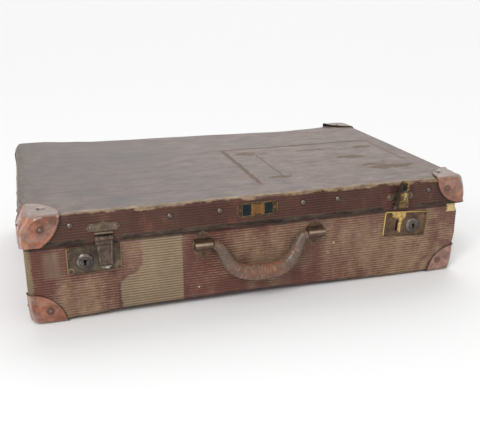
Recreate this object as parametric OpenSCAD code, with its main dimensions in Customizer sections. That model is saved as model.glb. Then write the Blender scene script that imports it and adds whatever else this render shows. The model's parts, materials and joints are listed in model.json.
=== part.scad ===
// Old fibreboard suitcase with leather corners, lying flat and shut.
// Millimetres. +Z is up, and the front, with the handle, looks to -Y.
// The origin is on the floor, under the middle of the whole piece.
// Front, side and back fittings are drawn on their wall: x along it, y up from the floor, z outward.

/* [Case] */
// Outer width of the lid
case_w = 606; // [560:1:680]
// Outer depth of the lid
case_d = 398; // [340:1:460]
// Height of the parting line above the floor
rim_z = 103.4; // [100:0.1:130]
// Height of the lid above the parting line
lid_h = 40; // [39:0.1:60]
// How far the lid's walls stand out past the base's
lid_overhang = 3; // [2.6:0.1:4.5]
// Thickness of the fibreboard
board_t = 2.6; // [2:0.1:3.2]
// Radius of the upright corners
corner_r = 8; // [7:0.5:11]
// Radius of the long edges round the top and the bottom
edge_r = 5.5; // [4.5:0.5:6.5]
// Gap under the shut lid's rim
lid_gap = 0.4; // [0.3:0.1:0.6]

/* [Frames and lining] */
// Thickness of the base's wooden slats
base_frame_t = 3; // [2.5:0.1:4]
// How far the base's slats go down below the parting line
base_frame_h = 43; // [41:0.5:50]
// How far the base's slats stand up into the lid
tongue_h = 12; // [8:0.5:16]
// How far the lid's slats go up from its rim
lid_frame_h = 30; // [29:0.5:32]
// Thickness of the paper lining
lining_t = 0.5; // [0.3:0.1:0.8]
// Height of the bound edge round the lid's rim
binding_h = 6.5; // [5:0.5:8]
// Thickness of the bound edge
binding_t = 0.6; // [0.4:0.1:0.8]

/* [Leather corners] */
// Thickness of the leather, which also lifts the base off the floor
leather_t = 1.6; // [1.2:0.1:2.2]
// Reach of the lid's left corners
lid_left_reach = 49; // [44:0.5:52]
// Reach of the lid's right corners
lid_right_reach = 43; // [40:0.5:50]
// Reach of the base's left corners
base_left_reach = 45; // [38:0.5:48]
// Reach of the base's right corners
base_right_reach = 42; // [38:0.5:48]
// How far the leather's round cut is centred past the case's flat face
reach_off = 4; // [2:0.5:6]
// Distance of a corner's rivets from the upright edge
corner_rivet_along = 25; // [20:0.5:26]
// Distance of a corner's rivets from the top or bottom edge
corner_rivet_up = 16; // [14:0.5:18]

/* [Rivets] */
// Radius of a frame rivet's domed head
stud_r = 3.2; // [2.6:0.1:3.6]
// Radius of a fitting rivet's domed head
tack_r = 2.2; // [1.8:0.1:2.5]
// Height of the lid's frame rivets above the parting line
frame_rivet_rise = 24.6; // [23:0.2:26]

/* [Locks] */
// Distance of a lock's slot from the end of the lid
lock_inset = 99.5; // [92:0.5:104]
// Height of the key plug and the slot
lock_z = 79; // [77:0.5:81]
// Distance from the slot outboard to the key plug
plug_offset = 25; // [24:0.5:27]
// Width of a lock plate
lock_plate_w = 67.5; // [66:0.5:70]
// Height of a lock plate
lock_plate_h = 36; // [34:0.5:38]
// Gap from a lock plate's top to the parting line
lock_plate_drop = 4; // [3:0.1:5]
// How far the right lock is turned on the wall, in degrees
right_lock_tilt = 4.5; // [3:0.5:5]
// Thickness of the lock and hasp plates
plate_t = 1; // [0.8:0.1:1.2]
// Radius of the domed boss round the key plug
boss_r = 11.5; // [10.5:0.5:12.5]
// Radius of the key plug
plug_r = 4.8; // [4.4:0.1:5.2]
// Width of the slot that takes the hasp's staple
slot_w = 3.4; // [3.2:0.1:4]
// Height of the slot
slot_h = 16; // [15.5:0.5:18]
// Depth of the lock's case behind the plate
lock_case_depth = 8.5; // [8:0.5:10]

/* [Hasps] */
// Height of a hasp's pin above the parting line
hasp_rise = 5.6; // [5:0.1:6.5]
// Length of a hasp's flap from its pin to its tip
flap_len = 40; // [39:0.5:43]
// Width of a flap
flap_w = 19; // [17:0.5:20]
// Radius of a flap's round tip
flap_tip_r = 7.6; // [7:0.1:8.4]
// Thickness of a flap
flap_t = 1.2; // [1:0.1:1.4]
// Radius of a hasp's knuckles
hasp_knuckle_r = 3; // [2.8:0.1:3.4]
// Radius of a hasp's pin
hasp_pin_r = 1.1; // [1:0.05:1.3]
// How far the left flap hangs out from its latched place, in degrees
left_lean = 8.5; // [8:0.5:12]
// How far the right flap is thrown up from its latched place, in degrees
right_throw = 171; // [165:1:175]

/* [Handle] */
// Distance of each handle bracket from the middle
bracket_x = 78; // [74:0.5:86]
// Height of the handle's pins below the parting line
handle_drop_z = 18.9; // [18.5:0.1:22]
// Radius of a bracket's barrel
barrel_r = 5.6; // [5:0.1:6]
// Length of a bracket's barrel
barrel_len = 24; // [20:0.5:26]
// Radius of the handle's steel core and pins
core_r = 3; // [2.5:0.1:3.4]
// Distance from the pins down to the middle of the grip
grip_drop = 44.5; // [42:0.5:50]
// Thickness of the grip in its middle, as a radius
grip_mid_r = 11.4; // [10:0.1:12.5]
// Thickness of the grip at its ends, as a radius
grip_end_r = 6; // [5.4:0.1:6.4]

/* [Hinges] */
// Distance of each hinge's middle from the end of the lid
hinge_inset = 123; // [105:1:160]
// Length of a hinge
hinge_len = 60; // [50:1:80]
// Height of a hinge's leaves
hinge_leaf_h = 24; // [22:0.5:28]
// Radius of a hinge's knuckles
hinge_knuckle_r = 2.9; // [2.7:0.1:3.2]
// Radius of a hinge's pin
hinge_pin_r = 1.5; // [1.3:0.05:1.7]

/* [Name plate] */
// Place of the name plate's middle along the front
name_x = -4; // [-12:0.5:2]
// Width of the name plate
name_w = 55; // [50:0.5:60]
// Height of the name plate
name_h = 19; // [17:0.5:20]
// Height of the name plate's middle above the parting line
name_rise = 22.3; // [21.5:0.1:24]

/* [Hidden] */
$fn = 48;

// Clearances
lay_gap = 0.1;      // between layers of one half that lie on each other
tongue_gap = 0.4;   // between the base's tongue and the lid's slats
run_gap = 0.05;     // round every pin and shaft that turns
rivet_gap = 0.05;   // round a rivet's shank
part_gap = 0.3;     // between pieces that move past each other
rest_gap = 0.5;     // between the hanging grip and the wall

// Walls of the case
base_w = case_w - 2 * lid_overhang;
base_d = case_d - 2 * lid_overhang;
lid_rim_z = rim_z + lid_gap;
lid_top_z = rim_z + lid_h;
lid_wall_h = lid_top_z - lid_rim_z;
base_wall_h = rim_z - leather_t;
lid_frame_t = lid_overhang - tongue_gap;
behind_base = board_t + lay_gap + base_frame_t;
behind_lid = board_t + lay_gap + lid_frame_t;
tongue_back_gap = 12;

// Depth of every drilling for a rivet, past the deepest stack it goes through
drill_depth = 12;
over_cut = 1;

// Hinge pin, behind the lid's back wall and level with the parting line
hinge_out = lay_gap + part_gap + hinge_knuckle_r;
hinge_reach = case_d / 2 + hinge_out + hinge_knuckle_r;
hinge_leaf_t = 1.2;
pin_extra = 1;
knuckles = 5;
hinge_x = case_w / 2 - hinge_inset;
hinge_rivet_in = 8;
hinge_rivet_x = hinge_len / 2 - hinge_rivet_in;
hinge_rivet_y = hinge_leaf_h - hinge_rivet_in;

// Handle, from its pins; the grip leans out until it clears the wall
bracket_plate_t = 1.2;
bracket_half_w = 13.5;
bracket_h = 39;
bracket_mid = handle_drop_z - part_gap - bracket_h / 2;
bracket_rivet_y = 14;
barrel_out = bracket_plate_t + barrel_r;
barrel_z = rim_z - handle_drop_z;
handle_lean = asin((grip_mid_r + rest_gap - barrel_out) / grip_drop);
handle_reach = base_d / 2 + barrel_out + grip_drop * sin(handle_lean) + grip_mid_r;
pin_end = bracket_x + barrel_len / 2;
bend_x = bracket_x - barrel_len / 2 - 3;
grip_cut_x = bracket_x - barrel_len / 2 - 0.6;
leg_slope = 15 / 23;
bar_corner_x = bend_x - grip_drop * leg_slope;
bend_start = 22;
ball_extra = 0.05;
grip_steps = 8;

// The case's middle line, so that the origin is under the middle of the whole piece
mid_y = (handle_reach - hinge_reach) / 2;

// Rivets
stud_head_h = 1.6;
stud_shank_r = 1.5;
stud_tail_r = 3;
tack_head_h = 1.2;
tack_shank_r = 1.1;
tack_tail_r = 2;
tail_t = 0.7;
frame_rivet_z = rim_z + frame_rivet_rise;
end_rivet_in = 60;
right_rivet_in = 54;
front_rivet_x = [end_rivet_in - case_w / 2, -120, -55, 60, 110, case_w / 2 - right_rivet_in];
back_rivet_x = [end_rivet_in - case_w / 2, -hinge_x / 2, 0, hinge_x / 2, case_w / 2 - end_rivet_in];
side_rivets = 4;

// Locks
lock_x = case_w / 2 - lock_inset;
lock_plate_in = 20.5;
lock_plate_mid = lock_plate_w / 2 - lock_plate_in;
lock_plate_z = rim_z - lock_plate_drop - lock_plate_h / 2;
lock_plate_rim = 0.5;
rim_band = 1.2;
lock_plate_r = 3;
lock_rivet_inset = 3.8;
boss_h = 4;
case_wall = 0.8;
case_in = 9;
case_rivet_gap = 1.2;
case_out = lock_plate_w - lock_plate_in - lock_rivet_inset - tack_tail_r - case_rivet_gap;
case_half_h = 12.5;
bolt_t = 1.2;
bolt_gap = 0.2;
nose_half_h = 2;
bar_low = 3.4;
bar_high = 9.4;
riser_start = 17.6;
riser_end = 22;
bar_end_gap = 0.7;
bar_end = case_out - case_wall - bar_end_gap;
cam_r = 5;
cam_tip_r = 1.4;
cam_turn = 45;
cam_neck_w = 1.6;
yoke_gap = 0.35;
shaft_r = 2.6;
plug_sink = 1.2;
keyhole_r = 2.1;
keyhole_w = 2.2;
keyhole_y = 1.1;
keyhole_low = 3.8;
keyhole_depth = 2.2;
bolt_travel = 2 * cam_r * sin(cam_turn);
nose_past_slot = 4;
nose_end = bolt_travel - nose_past_slot;
guide_wall = 1.8;
nose_guide = [5, 4.5];
bar_guide = [plug_offset + bolt_travel / 2 + cam_tip_r + yoke_gap + bolt_gap, 2.7];

// Hasps
hasp_z = rim_z + hasp_rise;
hasp_out = lid_gap + hasp_knuckle_r;
hasp_w = 22;
mid_knuckle = 11;
end_knuckle = (hasp_w - mid_knuckle) / 2 - part_gap;
ear_x = 15.5;
ear_y = 14;
ear_r = 5;
peak_y = 23;
peak_half_w = 9;
roll_r = 1.5;
roll_y = hasp_knuckle_r + 3.2;
shoulder_h = 5;
lip_r = 2;
staple_t = 2;
staple_foot_t = 0.8;
staple_eye_gap = 0.3;
staple_foot_w = 8;
staple_low = 5.5;
staple_high = 4.5;
staple_neck = 2;
foot_edge = 1;
// Depths from the hasp's pin towards the wall
flap_in = hasp_knuckle_r;
bolt_front = hasp_out + lid_overhang + bolt_gap;
staple_nose = bolt_front + bolt_t + 1.4;

// Name plate
name_z = rim_z + name_rise;
name_t = 0.9;
name_chamfer = 4;
name_rim = 1.6;
enamel_t = 0.5;
name_tilt = 0.6;
nail_x = name_w / 2 - 4;
enamel_in = 5;
enamel_out = nail_x - 2.6;

// Upright slab outline with true round corners
module round_rect(w, d, r) {
    square([w - 2 * r, d], center = true);
    square([w, d - 2 * r], center = true);
    for (x = [-1, 1], y = [-1, 1])
        translate([x * (w / 2 - r), y * (d / 2 - r)]) circle(r);
}

// A hoop of wall thickness t that follows the case's outline
module hoop(w, d, r, t, h) {
    linear_extrude(h) difference() {
        round_rect(w, d, r);
        round_rect(w - 2 * t, d - 2 * t, r - t);
    }
}

// Half outline of a corner post, from its axis out, with a round bottom edge
module post_profile(rc, re, h) {
    translate([0, re]) square([rc, h - re]);
    square([rc - re, h]);
    intersection() {
        translate([rc - re, re]) circle(re);
        square([rc, 2 * re]);
    }
}

// Outline of a box seen from one end, with both bottom edges round
module end_profile(w, h, re) {
    translate([-w / 2, re]) square([w, h - re]);
    translate([-w / 2 + re, 0]) square([w - 2 * re, h]);
    for (x = [-1, 1]) translate([x * (w / 2 - re), re]) circle(re);
}

// Box on z = 0 with round upright corners rc and round bottom edges re
module soft_box(w, d, h, rc, re) {
    translate([-(w / 2 - rc), 0, 0]) rotate([90, 0, 90]) linear_extrude(w - 2 * rc)
        end_profile(d, h, re);
    translate([0, d / 2 - rc, 0]) rotate([90, 0, 0]) linear_extrude(d - 2 * rc)
        end_profile(w, h, re);
    for (x = [-1, 1], y = [-1, 1])
        translate([x * (w / 2 - rc), y * (d / 2 - rc), 0]) rotate_extrude()
            post_profile(rc, re, h);
}

// Open tray with its floor at z = 0
module tray(w, d, h, t, rc, re) {
    difference() {
        soft_box(w, d, h, rc, re);
        translate([0, 0, t]) soft_box(w - 2 * t, d - 2 * t, h, rc - t, re - t);
    }
}

// Turns a wall's drawing plane to the wall; turn is 0 front, 90 right, 180 back, 270 left
module on_wall(turn, out) {
    translate([0, mid_y, 0]) rotate([90, 0, turn]) translate([0, 0, out]) children();
}

// Places a child at the outer corner of a box, its inside towards +x, +y and +z
module at_corner(sx, sy, w, d, z, flip) {
    translate([sx * w / 2, mid_y + sy * d / 2, z])
        mirror([sx > 0 ? 1 : 0, 0, 0]) mirror([0, sy > 0 ? 1 : 0, 0])
            mirror([0, 0, flip ? 1 : 0]) children();
}

// Domed rivet through a stack of the given depth, its head on z = 0
module rivet(head_r, head_h, shank_r, tail_r, depth) {
    dome_r = (head_r * head_r + head_h * head_h) / (2 * head_h);
    rotate_extrude() {
        intersection() {
            translate([0, head_h - dome_r]) circle(dome_r);
            square([head_r, head_h]);
        }
        translate([0, -depth - tail_t]) square([shank_r, depth + tail_t + head_h / 2]);
        translate([0, -depth - tail_t]) square([tail_r, tail_t]);
    }
}

module stud(depth) rivet(stud_r, stud_head_h, stud_shank_r, stud_tail_r, depth);
module tack(depth) rivet(tack_r, tack_head_h, tack_shank_r, tack_tail_r, depth);

// Drilling for a rivet's shank
module drill(r, depth) {
    translate([0, 0, -depth]) cylinder(r = r + rivet_gap, h = 2 * depth);
}

// Places of the rivets, used by the rivets and by every hole they pass
module at_frame_rivets() {
    for (x = front_rivet_x)
        on_wall(0, case_d / 2) translate([x, frame_rivet_z, 0]) children();
    for (turn = [90, 270], i = [0 : side_rivets - 1])
        on_wall(turn, case_w / 2)
            translate([(i + 0.5 - side_rivets / 2) * case_d / (side_rivets + 1), frame_rivet_z, 0])
                children();
    for (x = back_rivet_x)
        on_wall(180, case_d / 2) translate([x, frame_rivet_z, 0]) children();
}

module at_lid_corner_rivets() {
    for (sx = [-1, 1], sy = [-1, 1])
        at_corner(sx, sy, case_w, case_d, lid_top_z, true)
            corner_rivet_places(true) children();
}

module at_base_corner_rivets() {
    for (sx = [-1, 1], sy = [-1, 1])
        at_corner(sx, sy, base_w, base_d, leather_t, false)
            corner_rivet_places(false) children();
}

// On each leaf of one corner; with_top adds the flat leaf's rivet
module corner_rivet_places(with_top) {
    translate([corner_rivet_along, 0, corner_rivet_up]) rotate([90, 0, 0]) children();
    translate([0, corner_rivet_along, corner_rivet_up]) rotate([0, -90, 0]) children();
    if (with_top)
        translate([corner_rivet_along, corner_rivet_along, 0]) rotate([180, 0, 0]) children();
}

module at_lock(side) {
    on_wall(0, base_d / 2) mirror([side < 0 ? 1 : 0, 0, 0])
        translate([lock_x, lock_z, 0]) rotate([0, 0, side > 0 ? -right_lock_tilt : 0]) children();
}

module at_lock_rivets() {
    for (side = [-1, 1], x = [-1, 1], y = [-1, 1])
        at_lock(side)
            translate([lock_plate_mid + x * (lock_plate_w / 2 - lock_rivet_inset),
                lock_plate_z - lock_z + y * (lock_plate_h / 2 - lock_rivet_inset), 0])
                children();
}

module at_bracket(side) {
    on_wall(0, base_d / 2) translate([side * bracket_x, barrel_z, 0]) children();
}

module at_bracket_rivets() {
    for (side = [-1, 1], y = [-1, 1])
        at_bracket(side) translate([0, bracket_mid + y * bracket_rivet_y, 0]) children();
}

module at_hasp(side) {
    on_wall(0, case_d / 2) translate([side * lock_x, hasp_z, 0]) children();
}

module at_hasp_rivets() {
    for (side = [-1, 1], x = [-1, 1]) at_hasp(side) translate([x * ear_x, ear_y, 0]) children();
}

module at_name_plate() {
    on_wall(0, case_d / 2) translate([name_x, name_z, 0]) rotate([0, 0, name_tilt]) children();
}

module at_hinge(side) {
    on_wall(180, case_d / 2) translate([side * hinge_x, rim_z, hinge_out]) children();
}

module at_hinge_rivets(up, out) {
    for (side = [-1, 1], i = [-1, 0, 1])
        at_hinge(side) translate([i * hinge_rivet_x, up * hinge_rivet_y, out]) children();
}

// Hole patterns through each half's wall
module base_drillings() {
    at_base_corner_rivets() drill(tack_shank_r, drill_depth);
    at_lock_rivets() drill(tack_shank_r, drill_depth);
    at_bracket_rivets() drill(tack_shank_r, drill_depth);
    at_hinge_rivets(-1, 0) drill(tack_shank_r, drill_depth + hinge_out);
}

module lid_drillings() {
    at_lid_corner_rivets() drill(tack_shank_r, drill_depth);
    at_frame_rivets() drill(stud_shank_r, drill_depth);
    at_hasp_rivets() drill(tack_shank_r, drill_depth);
    at_name_plate() for (x = [-1, 1]) translate([x * nail_x, 0, 0]) drill(tack_shank_r, drill_depth);
    at_hinge_rivets(1, 0) drill(tack_shank_r, drill_depth);
}

// Recess in the base's front for a lock's case
module lock_recess(depth, low) {
    translate([-case_in - bolt_gap, -case_half_h - low, -depth])
        cube([case_in + case_out + 2 * bolt_gap, 2 * case_half_h + low + bolt_gap, 2 * depth]);
}

module base_tray() {
    color("sienna") difference() {
        translate([0, mid_y, leather_t])
            tray(base_w, base_d, base_wall_h, board_t, corner_r, edge_r);
        base_drillings();
        for (side = [-1, 1]) at_lock(side) lock_recess(board_t + lay_gap, bolt_gap);
    }
}

// Straight slat that lies behind a wall, clear of the round corners; turn as for on_wall
module slat(turn, w, d, rc, t, z, h) {
    along = turn % 180 == 0 ? w : d;
    out = turn % 180 == 0 ? d / 2 : w / 2;
    end_gap = max(rc, t + lay_gap);
    on_wall(turn, out - t) translate([end_gap - along / 2, z, 0])
        cube([along - 2 * end_gap, h, t]);
}

module base_slat(turn, h) {
    inset = board_t + lay_gap;
    slat(turn, base_w - 2 * inset, base_d - 2 * inset, corner_r - inset, base_frame_t,
        rim_z - base_frame_h, h);
}

// The front slat is cut away from below for the lock cases
module base_frame_front() {
    color("burlywood") difference() {
        base_slat(0, base_frame_h + tongue_h);
        base_drillings();
        for (side = [-1, 1])
            at_lock(side) lock_recess(lock_case_depth + lay_gap, lock_z - case_half_h);
    }
}

// The back slat has no tongue, because the lid swings down behind it
module base_frame_back() {
    color("burlywood") difference() {
        base_slat(180, base_frame_h);
        base_drillings();
    }
}

module base_end_slat(turn) {
    color("burlywood") difference() {
        base_slat(turn, base_frame_h + tongue_h);
        translate([-case_w, mid_y + base_d / 2 - tongue_back_gap, rim_z])
            cube([2 * case_w, tongue_back_gap, tongue_h + over_cut]);
    }
}

module base_frame_left() base_end_slat(270);
module base_frame_right() base_end_slat(90);

module base_lining() {
    inset = board_t + lay_gap;
    color("rosybrown") difference() {
        translate([0, mid_y, leather_t + inset])
            tray(base_w - 2 * inset, base_d - 2 * inset,
                base_wall_h - inset - base_frame_h - lay_gap, lining_t, corner_r - inset, edge_r - inset);
        at_base_corner_rivets() drill(tack_tail_r, drill_depth);
    }
}

// Formed leather over one corner: a quarter leaf on each of the three faces
module leather_corner(reach, h) {
    color("peru") intersection() {
        difference() {
            corner_block(leather_t, min(reach, h), h);
            corner_block(0, reach + over_cut, reach + over_cut);
            corner_rivet_places(true) drill(tack_shank_r, drill_depth);
        }
        translate([0, 0, -reach_off]) sphere(norm([reach, reach_off]));
    }
}

// One corner of a tray, grown outward, reaching reach along x and y and h along z
module corner_block(grow, reach, h) {
    rc = corner_r + grow;
    re = edge_r + grow;
    s = reach + grow + 2;
    translate([-grow, -grow, -grow]) {
        translate([rc, rc, 0]) rotate_extrude() post_profile(rc, re, h + grow);
        for (swap = [0, 1])
            mirror([swap, -swap, 0]) translate([rc, 0, 0]) rotate([90, 0, 90])
                linear_extrude(s) {
                    translate([re, 0]) square([s, h + grow]);
                    translate([0, re]) square([re, h + grow - re]);
                    translate([re, re]) circle(re);
                }
    }
}

module base_corner(sx, sy, reach) {
    at_corner(sx, sy, base_w, base_d, leather_t, false) leather_corner(reach, reach + 1);
}

module base_corner_front_left() base_corner(-1, -1, base_left_reach);
module base_corner_front_right() base_corner(1, -1, base_right_reach);
module base_corner_back_left() base_corner(-1, 1, base_left_reach);
module base_corner_back_right() base_corner(1, 1, base_right_reach);

module base_corner_rivets() {
    color("dimgray") at_base_corner_rivets()
        translate([0, 0, leather_t]) tack(leather_t + board_t);
}

module lock_plate_outline(grow) {
    translate([lock_plate_mid, lock_plate_z - lock_z])
        round_rect(lock_plate_w + 2 * grow, lock_plate_h + 2 * grow, lock_plate_r + grow);
}

module slot_outline() {
    square([slot_w, slot_h - slot_w], center = true);
    for (y = [-1, 1]) translate([0, y * (slot_h - slot_w) / 2]) circle(slot_w / 2);
}

// Pressed plate with a raised rim, the staple's slot and the key plug's hole
module lock_plate() {
    color("darkgoldenrod") difference() {
        union() {
            linear_extrude(plate_t) lock_plate_outline(0);
            linear_extrude(plate_t + lock_plate_rim) difference() {
                lock_plate_outline(0);
                lock_plate_outline(-rim_band);
            }
        }
        translate([0, 0, -over_cut]) linear_extrude(plate_t + 2 * over_cut) slot_outline();
        translate([plug_offset, 0, -over_cut])
            cylinder(r = plug_r + run_gap, h = plate_t + 2 * over_cut);
        for (x = [-1, 1], y = [-1, 1])
            translate([lock_plate_mid + x * (lock_plate_w / 2 - lock_rivet_inset),
                lock_plate_z - lock_z + y * (lock_plate_h / 2 - lock_rivet_inset), 0])
                drill(tack_shank_r, drill_depth);
    }
}

module lock_plate_left() at_lock(-1) lock_plate();
module lock_plate_right() at_lock(1) lock_plate();

// Domed ring that guards the key plug
module lock_boss() {
    dome_r = (boss_r * boss_r + boss_h * boss_h) / (2 * boss_h);
    color("slategray") translate([plug_offset, 0, plate_t]) rotate_extrude()
        intersection() {
            translate([0, boss_h - dome_r]) circle(dome_r);
            translate([plug_r + run_gap, 0]) square([boss_r - plug_r - run_gap, boss_h]);
        }
}

module lock_boss_left() at_lock(-1) lock_boss();
module lock_boss_right() at_lock(1) lock_boss();

// Guide that the bolt slides through, standing on the case's back; place is [start, length]
module bolt_guide(place, low, high) {
    back = lock_case_depth - case_wall;
    difference() {
        translate([place[0], low - guide_wall, -back])
            cube([place[1], high - low + 2 * guide_wall, back]);
        translate([place[0] - over_cut, low - bolt_gap, -bolt_t - 2 * bolt_gap])
            cube([place[1] + 2 * over_cut, high - low + 2 * bolt_gap, bolt_t + 3 * bolt_gap]);
    }
}

// Sheet box behind the plate, open to the front, with the bolt's guides in it
module lock_case() {
    color("gray") difference() {
        union() {
            difference() {
                translate([-case_in, -case_half_h, -lock_case_depth])
                    cube([case_in + case_out, 2 * case_half_h, lock_case_depth]);
                translate([-case_in + case_wall, -case_half_h + case_wall, case_wall - lock_case_depth])
                    cube([case_in + case_out - 2 * case_wall, 2 * (case_half_h - case_wall),
                        lock_case_depth]);
            }
            bolt_guide(nose_guide, -nose_half_h, nose_half_h);
            bolt_guide(bar_guide, bar_low, bar_high);
        }
        translate([plug_offset, 0, -lock_case_depth - over_cut])
            cylinder(r = shaft_r + run_gap, h = case_wall + 2 * over_cut);
    }
}

module lock_case_left() at_lock(-1) lock_case();
module lock_case_right() at_lock(1) lock_case();

module lock_plate_rivets() {
    color("darkgoldenrod") at_lock_rivets()
        translate([0, 0, plate_t]) tack(plate_t + behind_base);
}

// Pointed plate with a barrel across it that takes the handle's pin
module handle_bracket() {
    half_h = bracket_h / 2;
    arc_r = (half_h * half_h + bracket_half_w * bracket_half_w) / (2 * bracket_half_w);
    color("darkgoldenrod") difference() {
        union() {
            translate([0, bracket_mid, 0]) linear_extrude(bracket_plate_t) intersection() {
                translate([arc_r - bracket_half_w, 0]) circle(arc_r);
                translate([bracket_half_w - arc_r, 0]) circle(arc_r);
            }
            translate([-barrel_len / 2, 0, barrel_out]) rotate([0, 90, 0])
                cylinder(r = barrel_r, h = barrel_len);
            translate([-barrel_len / 2, -barrel_r, 0]) cube([barrel_len, 2 * barrel_r, barrel_out]);
        }
        translate([-barrel_len, 0, barrel_out]) rotate([0, 90, 0])
            cylinder(r = core_r + run_gap, h = 2 * barrel_len);
        for (y = [-1, 1])
            translate([0, bracket_mid + y * bracket_rivet_y, 0]) drill(tack_shank_r, drill_depth);
    }
}

module handle_bracket_left() at_bracket(-1) handle_bracket();
module handle_bracket_right() at_bracket(1) handle_bracket();

module handle_bracket_rivets() {
    color("darkgoldenrod") at_bracket_rivets()
        translate([0, 0, bracket_plate_t]) tack(bracket_plate_t + behind_base);
}

// One knuckle of a hinge, number i of the row, along x
module knuckle(i, r, gap) {
    step = hinge_len / knuckles;
    translate([-hinge_len / 2 + i * step + gap, 0, 0]) rotate([0, 90, 0])
        cylinder(r = r, h = step - 2 * gap);
}

module hinge_bore() {
    translate([-hinge_len, 0, 0]) rotate([0, 90, 0])
        cylinder(r = hinge_pin_r + run_gap, h = 2 * hinge_len);
}

// Base leaf: knuckles 0, 2 and 4, each on an arm that steps out under the lid's rim
module hinge_base_leaf(side) {
    wall = -hinge_out - lid_overhang;
    step = hinge_len / knuckles;
    color("gray") difference() {
        at_hinge(side) union() {
            translate([-hinge_len / 2, -hinge_leaf_h, wall])
                cube([hinge_len, hinge_leaf_h - hinge_knuckle_r + hinge_leaf_t, hinge_leaf_t]);
            for (i = [0, 2, 4]) {
                knuckle(i, hinge_knuckle_r, part_gap / 2);
                translate([-hinge_len / 2 + i * step + part_gap / 2, -hinge_knuckle_r, wall])
                    cube([step - part_gap, hinge_leaf_t, -wall]);
            }
        }
        at_hinge(side) hinge_bore();
        at_hinge_rivets(-1, 0) drill(tack_shank_r, drill_depth + hinge_out);
    }
}

module hinge_base_leaf_left() hinge_base_leaf(1);
module hinge_base_leaf_right() hinge_base_leaf(-1);

module hinge_base_rivets() {
    color("gray") at_hinge_rivets(-1, hinge_leaf_t - hinge_out - lid_overhang)
        tack(hinge_leaf_t + behind_base);
}

module lid_tray() {
    let_in = binding_t + lay_gap;
    color("saddlebrown") difference() {
        translate([0, mid_y, lid_top_z]) mirror([0, 0, 1])
            tray(case_w, case_d, lid_wall_h, board_t, corner_r, edge_r);
        translate([0, mid_y, lid_rim_z - over_cut]) difference() {
            linear_extrude(binding_h + over_cut + lay_gap)
                square([case_w + 2 * over_cut, case_d + 2 * over_cut], center = true);
            translate([0, 0, -over_cut]) linear_extrude(binding_h + 4 * over_cut)
                round_rect(case_w - 2 * let_in, case_d - 2 * let_in, corner_r - let_in);
        }
        lid_drillings();
    }
}

// Strip of cloth bound round the lid's rim, let in flush
module lid_rim_binding() {
    color("dimgray") difference() {
        translate([0, mid_y, lid_rim_z]) hoop(case_w, case_d, corner_r, binding_t, binding_h);
        lid_drillings();
    }
}

module lid_slat(turn) {
    inset = board_t + lay_gap;
    color("burlywood") difference() {
        slat(turn, case_w - 2 * inset, case_d - 2 * inset, corner_r - inset, lid_frame_t,
            lid_rim_z, lid_frame_h);
        lid_drillings();
    }
}

module lid_frame_front() lid_slat(0);
module lid_frame_back() lid_slat(180);
module lid_frame_left() lid_slat(270);
module lid_frame_right() lid_slat(90);

module lid_lining() {
    inset = board_t + lay_gap;
    color("rosybrown") difference() {
        translate([0, mid_y, lid_top_z - inset]) mirror([0, 0, 1])
            tray(case_w - 2 * inset, case_d - 2 * inset,
                lid_wall_h - inset - lid_frame_h - lay_gap, lining_t, corner_r - inset, edge_r - inset);
        at_lid_corner_rivets() drill(tack_tail_r, drill_depth);
    }
}

module lid_corner(sx, sy, reach) {
    at_corner(sx, sy, case_w, case_d, lid_top_z, true) leather_corner(reach, lid_wall_h);
}

module lid_corner_front_left() lid_corner(-1, -1, lid_left_reach);
module lid_corner_front_right() lid_corner(1, -1, lid_right_reach);
module lid_corner_back_left() lid_corner(-1, 1, lid_left_reach);
module lid_corner_back_right() lid_corner(1, 1, lid_right_reach);

// The wall leaves' rivets go through the frame too, and the top leaf's through the board alone
module lid_corner_rivets() {
    color("dimgray") for (sx = [-1, 1], sy = [-1, 1])
        at_corner(sx, sy, case_w, case_d, lid_top_z, true) {
            corner_rivet_places(false) translate([0, 0, leather_t]) tack(leather_t + behind_lid);
            translate([corner_rivet_along, corner_rivet_along, -leather_t])
                rotate([180, 0, 0]) tack(leather_t + board_t);
        }
}

module lid_frame_rivets() {
    color("dimgray") at_frame_rivets() stud(behind_lid);
}

module name_outline(grow) {
    w = name_w / 2 + grow;
    h = name_h / 2 + grow;
    c = name_chamfer + grow / 2;
    polygon([[-w + c, -h], [w - c, -h], [w, -h + c], [w, h - c],
        [w - c, h], [-w + c, h], [-w, h - c], [-w, -h + c]]);
}

// The two enamelled fields, left and right of the plate's bare middle
module enamel_outline() {
    intersection() {
        name_outline(-name_rim);
        for (side = [-1, 1])
            translate([side * (enamel_in + enamel_out) / 2, 0])
                square([enamel_out - enamel_in, name_h], center = true);
    }
}

module name_plate() {
    color("darkgoldenrod") at_name_plate() difference() {
        linear_extrude(name_t) name_outline(0);
        translate([0, 0, name_t - enamel_t]) linear_extrude(enamel_t + over_cut) enamel_outline();
        for (x = [-1, 1]) translate([x * nail_x, 0, 0]) drill(tack_shank_r, drill_depth);
    }
}

module name_plate_enamel() {
    color("darkslategray") at_name_plate()
        translate([0, 0, name_t - enamel_t]) linear_extrude(enamel_t) enamel_outline();
}

module name_plate_nails() {
    color("darkgoldenrod") at_name_plate()
        for (x = [-1, 1]) translate([x * nail_x, 0, name_t]) tack(name_t + behind_lid);
}

// Plate with two riveted ears and a peak, rolled into the end knuckles below
module hasp_plate_outline() {
    for (x = [-1, 1]) translate([x * ear_x, ear_y]) circle(ear_r);
    translate([-hasp_w / 2, 0]) square([hasp_w, ear_y + ear_r]);
    translate([-ear_x, ear_y - ear_r]) square([2 * ear_x, 2 * ear_r]);
    polygon([[-peak_half_w, ear_y], [peak_half_w, ear_y], [0, peak_y]]);
}

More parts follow.
